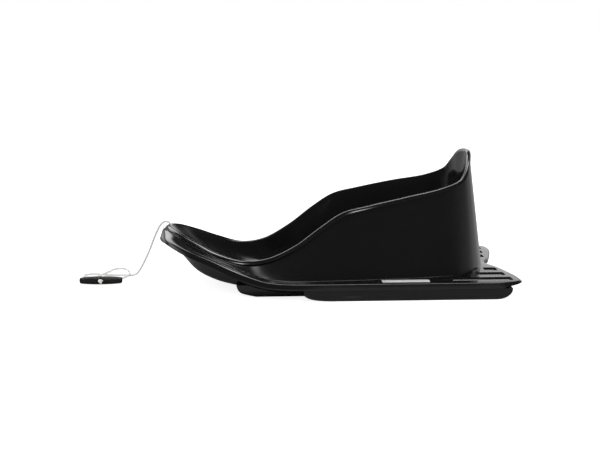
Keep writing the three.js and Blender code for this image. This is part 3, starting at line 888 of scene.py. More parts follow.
@dataclass
class SeatTub:
    """Seat tub: rolled rim bead, inner wall and floor.

    Attributes:
        bead_drop: How far the bead reaches down past the rim.
        bead_shoulder: How far the wall's top lies below the rim.
        bead_flare: How much the bead's foot flares towards the bow.
        bead_foot: Thickness of the bead's foot.
        bead_edge: Height of the foot's upright edge.
        bead_rise: How far above the foot the flare ends.
        bead_taper: How much the bead narrows there.
        bead_corners: The bead's crown, inwards from its outer side and down.
        bead_radii: Rounds of the foot's three corners.
        roll_corners: The crown at the nose, outwards from the rim and down.
        flare_span: Stations where the flare is full and where it ends.
        nose_roll: Added width and fall of the rolled edge at the nose.
        nose_span: Stations where the nose's roll is full and where it ends.
        nose_gap: How far past its slot the bead's side lies at the nose.
        nose_drop: How much further the bead reaches down at the nose.
        nose_rise: How much higher the flare ends there.
        head_roll: Added width and fall of the rolled edge at the head.
        head_span: Stations where the head's roll is full and where it ends.
        crown_share: Where the crown lies across the rolled edge.
        crown_drop: How far the crown lies below the rim.
        foot_radius: Round between the wall and the floor.
        floor_height: Height of the floor's edge.
        floor_dish: How far the floor sinks towards its middle.
        hole_diameter: Diameter of the rope's hole.
        hole_length: Length of the drill that cuts it.
        loft: What builds the tub's rings.
    """

    bead_drop: float = 7.5 * MM
    bead_shoulder: float = 2 * MM
    bead_flare: float = 1.7 * MM
    bead_foot: float = 0.6 * MM
    bead_edge: float = 0.9 * MM
    bead_rise: float = 3.6 * MM
    bead_taper: float = 1 * MM
    bead_corners: tuple[tuple[float, float], ...] = ((1.1 * MM, 2.7 * MM), (2.6 * MM, 0.2 * MM))
    bead_radii: tuple[float, ...] = (0.3 * MM, 0.8 * MM, 1.5 * MM)
    roll_corners: tuple[tuple[float, float], ...] = ((2.4 * MM, 4.9 * MM), (-1 * MM, 1.3 * MM))
    flare_span: tuple[float, float] = (8.0, 10.5)
    nose_roll: tuple[float, float] = (13 * MM, 8 * MM)
    nose_span: tuple[float, float] = (2.5, 4.3)
    nose_gap: float = 0.5 * MM
    nose_drop: float = 2.5 * MM
    nose_rise: float = 1.6 * MM
    head_roll: tuple[float, float] = (3 * MM, 1.5 * MM)
    head_span: tuple[float, float] = (14.0, 12.5)
    crown_share: float = 0.5
    crown_drop: float = 0.1 * MM
    foot_radius: float = 14 * MM
    floor_height: float = HULL_HEIGHT * 0.0683
    floor_dish: float = 3 * MM
    hole_diameter: float = 5.6 * MM
    hole_length: float = 20 * MM
    loft: Loft = field(default_factory=Loft)

    def foot(self) -> Ring:
        """Ring where the wall meets the floor."""
        return self.loft.ring([(along, across, self.floor_height / HULL_HEIGHT)
                               for along, across in FLOOR_SHARES])

    def wall(self, top: Ring, foot: Ring) -> list[Ring]:
        """Rings down the hollow inner wall, between its top and the floor."""
        walls = []
        for across, up in TUB_WALL_SHARES:
            wall = self.loft.between(foot, top, across)
            for point, low, high in zip(wall, foot, top):
                point.z = low.z + (high.z - low.z) * up
            walls.append(wall)
        return walls

    def rolled(self) -> tuple[list[float], list[float]]:
        """How broad the rolled edge is and how far it falls, point by point."""
        nose, head = (self.loft.nearness(*span) for span in (self.nose_span, self.head_span))
        width = [self.nose_roll[0] * n + self.head_roll[0] * h for n, h in zip(nose, head)]
        fall = [self.nose_roll[1] * n + self.head_roll[1] * h for n, h in zip(nose, head)]
        return width, fall

    def wall_top(self, rim: Ring) -> Ring:
        """Ring where the rolled edge ends and the inner wall begins."""
        width, fall = self.rolled()
        return self.loft.beside(rim, [-SKIN - value for value in width],
                                [self.bead_shoulder + value for value in fall])

    def rows(self) -> list[Ring]:
        """Rings of the upper side, from the bead's foot to the middle of the floor."""
        loft = self.loft
        rim = loft.ring(RIM_SHARES)
        foot = self.foot()
        width, _ = self.rolled()
        nose = loft.nearness(*self.nose_span)
        fade = loft.nearness(*self.flare_span)
        outer = SLOT + SKIN
        side = [outer + (SLOT + self.nose_gap - outer) * n for n in nose]
        flared = [a + self.bead_flare * (1 - n) * f for a, n, f in zip(side, nose, fade)]
        drop = [self.bead_drop + self.nose_drop * n for n in nose]
        rise = [self.bead_rise - self.nose_rise * n for n in nose]
        inner = [(self.bead_shoulder - SKIN) - self.crown_share * value for value in width]
        bead = [
            loft.beside(rim, [value - self.bead_foot for value in flared], drop),
            loft.beside(rim, flared, drop),
            loft.beside(rim, flared, [value - self.bead_edge for value in drop]),
            loft.beside(rim, [a - self.bead_taper * (1 - n) for a, n in zip(side, nose)],
                        [value - up for value, up in zip(drop, rise)]),
        ]
        for (out, down), (rolled_out, rolled_down) in zip(self.bead_corners, self.roll_corners):
            bead.append(loft.beside(
                rim, [(outer - out) * (1 - n) + rolled_out * n for n in nose],
                [down * (1 - n) + rolled_down * n for n in nose]))
        bead.append(loft.beside(rim, inner, self.crown_drop))
        dish = loft.dished(foot, self.floor_dish)
        top = self.wall_top(rim)
        corners = [*bead, top, *self.wall(top, foot)]
        full = [FULL_ROUND] * (len(corners) - 1 - len(self.bead_radii))
        radii = [0, *self.bead_radii, *full, self.foot_radius, 0]
        return [*loft.rounded([*corners, foot, dish[0]], radii), *dish[1:]]

    def back(self) -> list[Ring]:
        """Rings of the hidden side, a skin below the upper one."""
        loft = self.loft
        rim = loft.ring(RIM_SHARES)
        foot = self.foot()
        top = self.wall_top(rim)
        inner = loft.offset([top, *self.wall(top, foot), foot], SKIN)
        bead = [
            loft.beside(rim, SLOT, self.bead_drop),
            loft.beside(rim, SLOT, self.bead_shoulder + SKIN),
            loft.beside(rim, 0, self.bead_shoulder + SKIN),
        ]
        sunk = [[Vector((p.x, p.y, p.z - SKIN)) for p in row]
                for row in loft.dished(foot, self.floor_dish)]
        return [*bead, *inner[1:], *sunk]

    def build(self, finish: bpy.types.Material, rope_start: Vector,
              rope_direction: Vector) -> bpy.types.Object:
        """Build the tub with the hole for the rope in its nose.

        Args:
            finish: Its material.
            rope_start: Where the rope goes through.
            rope_direction: Which way it goes there.

        Returns:
            The piece.
        """
        rows = [*reversed(self.back()), *self.rows()]
        piece = piece_from_rows("seat_tub_skin", rows)
        deselect()
        bpy.ops.mesh.primitive_cylinder_add(vertices=32, radius=self.hole_diameter / 2,
                                            depth=self.hole_length, location=rope_start)
        drill = bpy.context.object
        drill.rotation_euler = UNIT_Z.rotation_difference(rope_direction).to_euler()
        settle(drill)
        combine(piece, drill, "DIFFERENCE")
        smooth(piece)
        dress(piece, finish, Slot.HULL, Body.SLED, "seat_tub")
        return piece


@dataclass
class BodyShell:
    """Body shell: outer wall, flange, folded lip and the grooves of the tail deck.

    Attributes:
        bead_drop: How far the tub's bead reaches down past the rim.
        bead_shoulder: How far the tub's wall starts below the rim.
        edge_radius: Round where the wall leaves the bead.
        crease_radius: Round between the wall and the flange.
        nose_radius: Round of the crease and the fold at the nose.
        nose_span: Stations where the nose's round is full and where it ends.
        fold_radius: Round between the flange and the lip.
        round_steps: Pieces in each round.
        groove_width: Width of a groove at the deck.
        groove_floor_width: Width of its floor.
        groove_depth: Its depth below the deck.
        groove_corner: Round of its upright corners.
        groove_fillet: Round along its floor.
        groove_pitch: Distance from groove to groove.
        groove_spans: Where each groove begins and ends, from the innermost out.
        loft: What builds its rings.
    """

    bead_drop: float = 7.5 * MM
    bead_shoulder: float = 2 * MM
    edge_radius: float = 0.6 * MM
    crease_radius: float = 0.3 * MM
    nose_radius: float = 14 * MM
    nose_span: tuple[float, float] = (2.0, 5.0)
    fold_radius: float = 1.4 * MM
    round_steps: int = 8
    groove_width: float = 29 * MM
    groove_floor_width: float = 24 * MM
    groove_depth: float = 6 * MM
    groove_corner: float = 4 * MM
    groove_fillet: float = 1.2 * MM
    groove_pitch: float = HULL_WIDTH * 0.115
    groove_spans: tuple[tuple[float, float], ...] = (
        (0.922, 0.96), (0.888, 0.969), (0.8073, 0.977))
    loft: Loft = field(default_factory=Loft)

    def control_rows(self) -> list[Ring]:
        """Rings of the outer side with sharp corners, from the top edge to the lip."""
        loft = self.loft
        rim = loft.ring(RIM_SHARES)
        crease = loft.ring(CREASE_SHARES, FLANGE_HEIGHT)
        fold = loft.ring(FOLD_SHARES, FLANGE_HEIGHT)
        lip = loft.ring(LIP_SHARES, LIP_HEIGHT)
        return [
            loft.beside(rim, SLOT - FIT_GAP, SKIN + self.bead_shoulder),
            loft.beside(rim, SLOT - FIT_GAP, self.bead_drop + FIT_GAP),
            crease, fold, lip,
        ]

    def trough(self, middle: float, start: float, end: float, wall: float) -> bpy.types.Object:
        """One groove's space, or the channel round it.

        Args:
            middle: Its place across the deck.
            start: Its place along the deck where it begins.
            end: Its place along the deck where it ends.
            wall: How much wider and deeper than the space it is.

        Returns:
            The tool piece.
        """
        top = FLANGE_HEIGHT + (SKIN if wall == 0 else -SKIN / 2)
        floor = FLANGE_HEIGHT - self.groove_depth - wall
        slope = (self.groove_width - self.groove_floor_width) / 2 / self.groove_depth
        height = top - floor
        bottom = self.groove_floor_width + 2 * wall - 2 * slope * wall * (wall > 0)
        wide = bottom + 2 * slope * height
        start -= wall
        end += wall
        deselect()
        bpy.ops.mesh.primitive_cube_add(
            size=1, scale=(end - start, wide, height),
            location=(from_nose((start + end) / 2), middle, (top + floor) / 2))
        tool = bpy.context.object
        settle(tool)
        bpy.ops.object.mode_set(mode="EDIT")
        select_where(tool, "FACE", lambda face: face.normal.z < DOWN)
        centre = (from_nose((start + end) / 2), middle, floor)
        bpy.ops.transform.resize(value=(1, bottom / wide, 1), center_override=centre)
        front = from_nose(start)
        select_where(tool, "VERT", lambda v: v.co.x < front + WELD and v.co.z < floor + WELD)
        bpy.ops.transform.translate(value=(slope * height, 0, 0))
        select_where(tool, "EDGE", lambda e: any(abs(f.normal.x) > LEANING for f in e.link_faces)
                     and abs(e.verts[0].co.z - e.verts[1].co.z) > WELD)
        bpy.ops.mesh.bevel(offset=self.groove_corner, segments=4, affect="EDGES")
        select_where(tool, "EDGE", lambda e: any(f.normal.z < DOWN for f in e.link_faces)
                     and not all(f.normal.z < DOWN for f in e.link_faces))
        bpy.ops.mesh.bevel(offset=self.groove_fillet, segments=2, affect="EDGES")
        bpy.ops.object.mode_set(mode="OBJECT")
        return tool

    def troughs(self, wall: float) -> bpy.types.Object:
        """All the grooves' spaces or channels as one tool piece."""
        tools = []
        for place, (start, end) in enumerate(self.groove_spans):
            for side in (-1, 1):
                middle = side * (place + 1.5) * self.groove_pitch
                tools.append(self.trough(middle, start * HULL_LENGTH, end * HULL_LENGTH, wall))
        choose(tools[0])
        for tool in tools[1:]:
            tool.select_set(True)
        bpy.ops.object.join()
        return tools[0]

    def within_lip(self) -> bpy.types.Object:
        """Everything inside the middle of the lip's wall, as a tall block."""
        lip = self.loft.beside(self.loft.ring(LIP_SHARES, LIP_HEIGHT), -SKIN / 2, 0)
        ends = [[Vector((p.x, p.y, height)) for p in lip] for height in (0, 2 * FLANGE_HEIGHT)]
        return piece_from_rows("lip_block", ends, caps=(0, 1))

    def build(self, finish: bpy.types.Material) -> bpy.types.Object:
        """Build the shell.

        Returns:
            The piece.
        """
        loft = self.loft
        control = self.control_rows()
        crease, fold = ([radius + (self.nose_radius - radius) * share
                         for share in loft.nearness(*self.nose_span)]
                        for radius in (self.crease_radius, self.fold_radius))
        front = loft.rounded(control, [0, self.edge_radius, crease, fold, 0], self.round_steps)
        back = loft.offset(control, -SKIN)
        back[-1] = loft.beside(control[-1], -SKIN, 0)
        piece = piece_from_rows("body_shell_skin", [*front, *reversed(back)], looped=True)
        channels = self.troughs(SKIN)
        combine(channels, self.within_lip(), "INTERSECT")
        combine(piece, channels, "UNION")
        combine(piece, self.troughs(0.0), "DIFFERENCE")
        smooth(piece)
        dress(piece, finish, Slot.HULL, Body.SLED, "body_shell")
        return piece


@dataclass
class HullPan:
    """Hull pan: the skin that closes the sled below, with its two keels.

    Attributes:
        edge_inset: How far its edge lies inside the lip.
        dish: How far its bottom sinks towards the middle.
        keel_outer: Distance of a keel's outer side from the middle.
        keel_width: Width of a keel.
        keel_front: Station of its front.
        keel_rear: Station of its rear.
        keel_nose: Length and height of its swept nose.
        keel_tail: Length and height of its round tail.
        keel_round: Round of its long edges.
        keel_steps: Pieces in the round of its tail.
        radii: Rounds of the pan's three corners, from the shelf to the bottom.
        round_steps: Pieces in each of them.
        loft: What builds the pan's rings.
    """

    edge_inset: float = 1 * MM
    dish: float = 2 * MM
    keel_outer: float = HULL_WIDTH * 0.375
    keel_width: float = 24 * MM
    keel_front: float = HULL_LENGTH * 0.2188
    keel_rear: float = HULL_LENGTH * 0.9284
    keel_nose: tuple[float, float] = (42 * MM, HULL_HEIGHT * 0.0956)
    keel_tail: tuple[float, float] = (24 * MM, HULL_HEIGHT * 0.0683)
    keel_round: float = 3 * MM
    keel_steps: int = 8
    radii: tuple[float, ...] = (4 * MM, 14 * MM, 8 * MM)
    round_steps: int = 6
    loft: Loft = field(default_factory=Loft)

    def control_rows(self) -> list[Ring]:
        """Rings of the outer side with sharp corners, from the edge to the flat bottom."""
        loft = self.loft
        shelf_height = LIP_HEIGHT - FIT_GAP - SKIN
        shares = [*LIP_SHARES[:-len(PAN_TAIL_SHARES)], *PAN_TAIL_SHARES]
        edge = loft.ring(shares, LIP_HEIGHT)
        return [
            loft.beside(edge, -self.edge_inset, FIT_GAP + SKIN),
            loft.ring(PAN_SHELF_SHARES, shelf_height),
            loft.ring(PAN_BILGE_SHARES),
            loft.ring(PAN_BOTTOM_SHARES),
        ]

    def keel_profile(self) -> list[tuple[float, float]]:
        """Side view of a keel, in X and Z, with a swept nose and a round tail."""
        points = []
        length, height = self.keel_nose
        for along, up in swept(KEEL_NOSE_SHARES):
            points.append((from_nose(self.keel_front + length * along), height * up))
        return [*points, *round_tail(self.keel_rear, *self.keel_tail, self.keel_steps)]

    def build(self, finish: bpy.types.Material) -> bpy.types.Object:
        """Build the pan with its keels.

        Returns:
            The piece.
        """
        loft = self.loft
        control = self.control_rows()
        dish = loft.dished(control[-1], self.dish)
        front = loft.rounded([*control, dish[0]], [0, *self.radii, 0], self.round_steps)
        back = loft.offset([*control, dish[0]], -SKIN)[:-1]
        sunk = [[Vector((p.x, p.y, p.z + SKIN)) for p in row] for row in dish]
        rows = [*reversed([*back, *sunk]), *front, *dish[1:]]
        piece = piece_from_rows("hull_pan_skin", rows)
        middle_skin = loft.offset([*control, dish[0]], -SKIN / 2)[:-1]
        middle_skin += [[Vector((p.x, p.y, p.z + SKIN / 2)) for p in row] for row in dish]
        lid = [Vector((p.x, p.y, HULL_HEIGHT)) for p in middle_skin[0]]
        for side in (-1, 1):
            middle = side * (self.keel_outer - self.keel_width / 2)
            keel = bar_from_profile("keel", self.keel_profile(), middle, self.keel_width,
                                    self.keel_round)
            inside = piece_from_rows("pan_inside", [lid, *middle_skin], caps=(0,))
            combine(keel, inside, "DIFFERENCE")
            combine(piece, keel, "UNION")
        smooth(piece)
        dress(piece, finish, Slot.HULL, Body.SLED, "hull_pan")
        return piece


def bar_from_profile(name: str, profile: list[tuple[float, float]], middle: float,
                     width: float, radius: float) -> bpy.types.Object:
    """Bar with a side view in X and Z, with its long edges rounded.

    Args:
        name: Name of the piece.
        profile: The side view's corners.
        middle: Its place across the sled.
        width: Its width across the sled.
        radius: Round of its edges.

    Returns:
        The piece.
    """
    shape = bmesh.new()
    shape.faces.new([shape.verts.new((x, middle - width / 2, z)) for x, z in profile])
    piece = piece_from_shape(name, shape)
    choose(piece)
    bpy.ops.object.mode_set(mode="EDIT")
    bpy.ops.mesh.select_all(action="SELECT")
    bpy.ops.mesh.extrude_region_move(TRANSFORM_OT_translate={"value": (0, width, 0)})
    bpy.ops.mesh.select_all(action="SELECT")
    bpy.ops.mesh.normals_make_consistent(inside=False)
    select_where(piece, "EDGE", lambda e: any(abs(f.normal.y) > FLAT for f in e.link_faces))
    bpy.ops.mesh.bevel(offset=radius, segments=4, affect="EDGES")
    bpy.ops.object.mode_set(mode="OBJECT")
    return piece


@dataclass
class RunnerRail:
    """Moulded rail under one flange: a trough with a solid heel, open on top.

    Attributes:
        side: -1 for the left side of the sled and 1 for the right.
        name: Name of the piece.
        node: The solid that it stands for.
        inset: Its distance from the sled's side.
        width: Its width across the sled.
        front: Station of its nose.
        rear: Station of its heel.
        nose: Length of its swept nose, and its height as a share of the rail's.
        tail: Length of its round tail, and its height as a share of the rail's.
        tail_steps: Pieces in the round of its tail.
        wall: Thickness of its wall.
        round: Round of its long edges.
        space_round: Round of the edges of the space in it.
    """

    side: int
    name: str
    node: str
    inset: float = 3 * MM
    width: float = HULL_WIDTH * 0.06
    front: float = HULL_LENGTH * 0.401
    rear: float = HULL_LENGTH * 0.97
    nose: tuple[float, float] = (56 * MM, 0.546)
    tail: tuple[float, float] = (34 * MM, 0.924)
    tail_steps: int = 12
    wall: float = 3 * MM
    round: float = 2 * MM
    space_round: float = 0.5 * MM

    @property
    def height(self) -> float:
        """Height of the rail, up to the shelf of the pan."""
        return LIP_HEIGHT - 2 * FIT_GAP - SKIN

    def profile(self, inset: float, top: float) -> list[tuple[float, float]]:
        """Side view of the rail, or of the space in it where inset is its wall."""
        nose, rise = self.nose
        tail, share = self.tail
        points = [(from_nose(self.front + inset), top)]
        for along, up in swept(RUNNER_NOSE_SHARES):
            points.append((from_nose(self.front + inset + nose * along),
                           inset + self.height * rise * up))
        if inset:
            heel = from_nose(self.rear - tail)
            return [*points, (heel, inset), (heel, top)]
        return [*points, *round_tail(self.rear, tail, self.height * share, self.tail_steps),
                (from_nose(self.rear), top)]

    def build(self, finish: bpy.types.Material) -> bpy.types.Object:
        """Build the rail.

        Returns:
            The piece.
        """
        middle = self.side * (HULL_WIDTH / 2 - self.inset - self.width / 2)
        above = self.height + 2 * self.round
        piece = bar_from_profile(self.name, self.profile(0.0, above), middle, self.width,
                                 self.round)
        space = bar_from_profile("rail_space", self.profile(self.wall, above + MM), middle,
                                 self.width - 2 * self.wall, self.space_round)
        combine(piece, space, "DIFFERENCE")
        choose(piece)
        bpy.ops.object.mode_set(mode="EDIT")
        bpy.ops.mesh.select_all(action="SELECT")
        bpy.ops.mesh.bisect(plane_co=(0, 0, self.height), plane_no=(0, 0, 1), clear_outer=True,
                            use_fill=True)
        bpy.ops.mesh.select_all(action="SELECT")
        bpy.ops.mesh.normals_make_consistent(inside=False)
        bpy.ops.object.mode_set(mode="OBJECT")
        smooth(piece, 30)
        dress(piece, finish, Slot.RUNNER, Body.SLED, self.node)
        return piece


@dataclass
class FilmStrip:
    """Plain pale film on the flat of the near flange, its corners round.

    Attributes:
        length: Its length along the sled.
        width: Its width across the flange.
        thickness: Its thickness.
        front: Station of its front end.
        inset: Distance of its middle from the sled's side.
        corner: Round of its corners.
        edge_round: Round of its edges.
    """

    length: float = 100 * MM
    width: float = 20 * MM
    thickness: float = 0.8 * MM
    front: float = HULL_LENGTH * 0.6146
    inset: float = 23 * MM
    corner: float = 3 * MM
    edge_round: float = 0.25 * MM

    def build(self, finish: bpy.types.Material) -> bpy.types.Object:
        """Build the strip.

        Returns:
            The piece.
        """
        place = (from_nose(self.front + self.length / 2), self.inset - HULL_WIDTH / 2,
                 FLANGE_HEIGHT + FIT_GAP + self.thickness / 2)
        deselect()
        bpy.ops.mesh.primitive_cube_add(size=1, location=place,
                                        scale=(self.length, self.width, self.thickness))
        piece = bpy.context.object
        piece.name = piece.data.name = "film_strip"
        settle(piece)
        bpy.ops.object.mode_set(mode="EDIT")
        select_where(piece, "EDGE", lambda e: abs(e.verts[0].co.z - e.verts[1].co.z) > WELD)
        bpy.ops.mesh.bevel(offset=self.corner, segments=6, affect="EDGES")
        select_where(piece, "EDGE", lambda e: any(abs(f.normal.z) > FLAT for f in e.link_faces))
        bpy.ops.mesh.bevel(offset=self.edge_round, segments=2, affect="EDGES")
        bpy.ops.object.mode_set(mode="OBJECT")
        smooth(piece)
        dress(piece, finish, Slot.FILM, Body.SLED, "side_strip")
        return piece


@dataclass
class Braid:
    """Round braid of even strands along a line.

    Attributes:
        radius: Radius on top of the strands.
        relief: Depth between the strands.
        strands: Number of strands that run each way.
        sides: Points in each ring.
        pitch: How far along the line the pattern takes to repeat.
        fullness: Shape of a strand across its width; less is fuller.
        dip: How far a strand's top sinks where it goes under, as a share of the relief.
    """

    radius: float = ROPE_DIAMETER / 2
    relief: float = 0.16 * MM
    strands: int = 4
    sides: int = 24
    pitch: float = 5.2 * MM
    fullness: float = 0.6
    dip: float = 0.28

    def strand_height(self, turn: float, along: float) -> float:
        """Height of the braid's surface, from 0 between strands to 1 on top of one."""
        rise = self.strands * turn / (2 * math.pi)
        over, under = rise + along / self.pitch, rise - along / self.pitch
        above = (math.floor(over) + math.floor(under)) % 2 == 0
        across = (over if above else under) % 1.0
        along_it = (under if above else over) % 1.0
        crown = math.sin(math.pi * across) ** self.fullness
        return crown * (1 - self.dip + self.dip * math.sin(math.pi * along_it))

    def build(self, name: str, line: list[Vector], closed: bool = False) -> bpy.types.Object:
        """Build the braid as a tube on a line.

        Args:
            name: Name of the piece.
            line: The points that it follows, evenly spaced.
            closed: Whether the line joins its start.

        Returns:
            The piece, with its strand heights as an attribute.
        """
        spacing = curve_length(line) / (len(line) - 1)
        side = Vector((0, 1, 0))
        rows, heights = [], []
        for i, point in enumerate(line):
            before = line[i - 1] if i or closed else line[0]
            after = line[(i + 1) % len(line)] if closed else line[min(i + 1, len(line) - 1)]
            ahead = (after - before).normalized()
            side = (side - ahead * side.dot(ahead)).normalized()
            up = ahead.cross(side)
            row, values = [], []
            for s in range(self.sides):
                turn = 2 * math.pi * s / self.sides
                value = self.strand_height(turn, i * spacing)
                reach = self.radius - self.relief * (1 - value)
                row.append(point + reach * (math.cos(turn) * side + math.sin(turn) * up))
                values.append(value)
            rows.append(row)
            heights.append(values)
        if not closed:
            rows = [[line[0]] * self.sides, *rows, [line[-1]] * self.sides]
            heights = [[0.5] * self.sides, *heights, [0.5] * self.sides]
        piece = self.tube(name, rows, heights, closed)
        smooth(piece, 80)
        return piece

    def tube(self, name: str, rows: list[Ring], heights: list[list[float]],
             closed: bool) -> bpy.types.Object:
        """Closed tube of rings, with the strand heights on its points.

        Returns:
            The piece.
        """
        shape = bmesh.new()
        layer = shape.verts.layers.float.new("strand_height")
        verts = []
        for row, values in zip(rows, heights):
            made = []
            for point, value in zip(row, values):
                vert = shape.verts.new(point)
                vert[layer] = value
                made.append(vert)
            verts.append(made)
        join_rows(shape, verts, closed)
        bmesh.ops.remove_doubles(shape, verts=shape.verts, dist=WELD)
        bmesh.ops.recalc_face_normals(shape, faces=shape.faces)
        return piece_from_shape(name, shape)


@dataclass
class TowRope:
    """Tow rope with its two stopper knots.

    Attributes:
        spacing: Distance between the rope's points.
        knot_diameter: Diameter of a knot.
        knot_strand_share: Radius of a knot's strand, as a share of that diameter.
        knot_relief: Depth between the strands of a knot's braid.
        knot_points: Points along a knot.
    """

    spacing: float = 0.75 * MM
    knot_diameter: float = 11 * MM
    knot_strand_share: float = 0.19
    knot_relief: float = 0.25 * MM
    knot_points: int = 110

    def route(self) -> list[Vector]:
        """Points of the rope's route, in metres."""
        rim = placed(RIM_SHARES[0])
        over = [Vector((rim.x + x * MM, y * MM, rim.z + z * MM)) for x, y, z in ROPE_OVER_RIM]
        down = [Vector((rim.x + x * MM, y * MM, rim.z * share)) for x, y, share in ROPE_DOWN]
        pile = [Vector((rim.x + x * MM, y * MM, z * MM)) for x, y, z in ROPE_PILE]
        return [*over, *down, *pile]

    def line(self) -> list[Vector]:
        """Even points along the rope, which rests on the ground and never under it."""
        return [Vector((p.x, p.y, max(p.z, ROPE_DIAMETER / 2)))
                for p in resampled(self.route(), self.spacing)]

    def knot(self, name: str, node: str, end: Vector, away: Vector,
             finish: bpy.types.Material) -> bpy.types.Object:
        """Tied stopper knot beyond an end of the rope.

        Args:
            name: Name of the piece.
            node: The solid that it stands for.
            end: The end of the rope.
            away: Direction out of the rope's end.
            finish: Its material.

        Returns:
            The piece.
        """
        strand = self.knot_diameter * self.knot_strand_share
        size = (self.knot_diameter / 2 - strand) / 3
        turn = UNIT_Z.rotation_difference(away).to_matrix()
        centre = end + away * (self.knot_diameter / 2 + FIT_GAP)
        line = []
        for i in range(self.knot_points):
            t = 2 * math.pi * i / self.knot_points
            spot = Vector((math.sin(t) + 2 * math.sin(2 * t), math.cos(t) - 2 * math.cos(2 * t),
                           -2.0 * math.sin(3 * t)))
            line.append(centre + turn @ (spot * size))
        braid = Braid(radius=strand, relief=self.knot_relief, sides=20)
        piece = braid.build(name, line, closed=True)
        dress(piece, finish, Slot.YARN, Body.SLED, node)
        return piece

    def build(self, finish: bpy.types.Material, handle: bpy.types.Object) -> None:
        """Build the rope and its knots.

        Args:
            finish: Material of the braid.
            handle: The tow handle, which is on the rope; not used.
        """
        line = self.line()
        rope = Braid().build("braided_rope", line)
        dress(rope, finish, Slot.YARN, Body.SLED, "tow_rope")
        nose = self.knot("nose_stopper", "nose_knot", line[0], (line[0] - line[1]).normalized(),
                         finish)
        tail = self.knot("handle_stopper", "handle_knot", line[-1],
                         (line[-1] - line[-2]).normalized(), finish)


@dataclass
class TowHandle:
    """Turned bar, thicker in the middle and ribbed along it, bored for the rope.

    Attributes:
        length: Length of the bar.
        diameter: Diameter of its middle.
        end_diameter: Diameter of its ends.
        end_round: Round of its ends.
        bore_diameter: Diameter of the bore across it.
        pocket_diameter: Diameter of the pocket at each end of the bore.
        pocket_depth: Depth of a pocket.
        ribs: Number of grooves round the bar, with a rib between each two.
        rib_depth: Depth of a groove.
        rib_fade: Length over which a groove runs out.
        rib_sharpness: Shape of a groove; more is narrower.
        plain_end: Length of the bar's plain ends.
        sides: Points in each ring.
        length_steps: Pieces along the bar.
        round_steps: Pieces in the round of an end.
    """

    length: float = 94 * MM
    diameter: float = 18 * MM
    end_diameter: float = 13.5 * MM
    end_round: float = 4 * MM
    bore_diameter: float = 6.4 * MM
    pocket_diameter: float = 13 * MM
    pocket_depth: float = 4 * MM
    ribs: int = 16
    rib_depth: float = 0.55 * MM
    rib_fade: float = 4 * MM
    rib_sharpness: int = 3
    plain_end: float = 7 * MM
    sides: int = 192
    length_steps: int = 90
    round_steps: int = 8

    @property
    def centre(self) -> Vector:
        """Middle of the handle."""
        x, y, z = HANDLE_CENTRE
        return Vector((placed(RIM_SHARES[0]).x + x * MM, y * MM, z * MM))

    def radius_at(self, place: float, turn: float) -> float:
        """Radius of the bar at a place from its middle, and round it."""
        half = self.length / 2
        radius = self.diameter / 2
        radius += (self.end_diameter / 2 - radius) * (place / half) ** 2
        past = abs(place) - (half - self.end_round)
        if past > 0:
            radius -= self.end_round - math.sqrt(max(self.end_round ** 2 - past ** 2, 0))
        fade = min(1.0, max(0.0, (half - self.plain_end - abs(place)) / self.rib_fade))
        groove = max(0.0, math.cos(self.ribs * turn)) ** self.rib_sharpness
        return radius - self.rib_depth * groove * fade

    def build(self, finish: bpy.types.Material) -> bpy.types.Object:
        """Build the handle.

        Returns:
            The piece.
        """
        half = self.length / 2
        places = [-half + self.length * i / self.length_steps
                  for i in range(self.length_steps + 1)]
        rounds = [half - self.end_round * (1 - math.cos(math.pi / 2 * i / self.round_steps))
                  for i in range(1, self.round_steps)]
        places = sorted({*places, *rounds, *(-place for place in rounds)})
        rows = []
        for place in places:
            ring = []
            for s in range(self.sides):
                turn = 2 * math.pi * s / self.sides
                reach = self.radius_at(place, turn)
                ring.append(self.centre + Vector((place, reach * math.cos(turn),
                                                  reach * math.sin(turn))))
            rows.append(ring)
        ends = [[self.centre + Vector((place, 0, 0))] * self.sides for place in (-half, half)]
        piece = piece_from_rows("turned_handle", [ends[0], *rows, ends[1]])
        self.bore(piece, self.bore_diameter, 2 * self.diameter, 0.0)
        for side in (-1, 1):
            middle = side * (self.diameter - self.pocket_depth)
            self.bore(piece, self.pocket_diameter, self.diameter, middle)
        smooth(piece, 40)
        dress(piece, finish, Slot.HANDLE, Body.HANDLE, "tow_handle")
        return piece

    def bore(self, piece: bpy.types.Object, diameter: float, length: float,
             across: float) -> None:
        """Cut a round hole along Y into the bar."""
        deselect()
        bpy.ops.mesh.primitive_cylinder_add(
            vertices=48, radius=diameter / 2, depth=length, rotation=(math.pi / 2, 0, 0),
            location=self.centre + Vector((0, across, 0)))
        tool = bpy.context.object
        settle(tool)
        combine(piece, tool, "DIFFERENCE")


# Studio


@dataclass(frozen=True)
class Portrait:
    """Camera at the photograph's viewing angle.

    Attributes:
        azimuth: Degrees round the sled from straight at its side.
        elevation: Degrees above the ground.
        distance: Metres from what it looks at.
        target: What it looks at.
        lens: Focal length, in millimetres.
        sensor: Width of the sensor, in millimetres.
    """

    azimuth: float = -3.0
    elevation: float = 10.5
    distance: float = 2.5
    target: Share = (-0.074, 0.0, 0.1257)
    lens: float = 67.6
    sensor: float = 36.0

    def build(self) -> None:
        """Build the camera and make it the scene's."""
        data = bpy.data.cameras.new("portrait")
        data.lens = self.lens
        data.sensor_width = self.sensor
        camera = new_object("portrait", data)
        turn, rise = math.radians(self.azimuth), math.radians(self.elevation)
        away = Vector((math.sin(turn) * math.cos(rise), -math.cos(turn) * math.cos(rise),
                       math.sin(rise)))
        camera.location = Vector(self.target) + away * self.distance
        camera.rotation_euler = away.to_track_quat("Z", "Y").to_euler()
        bpy.context.scene.camera = camera


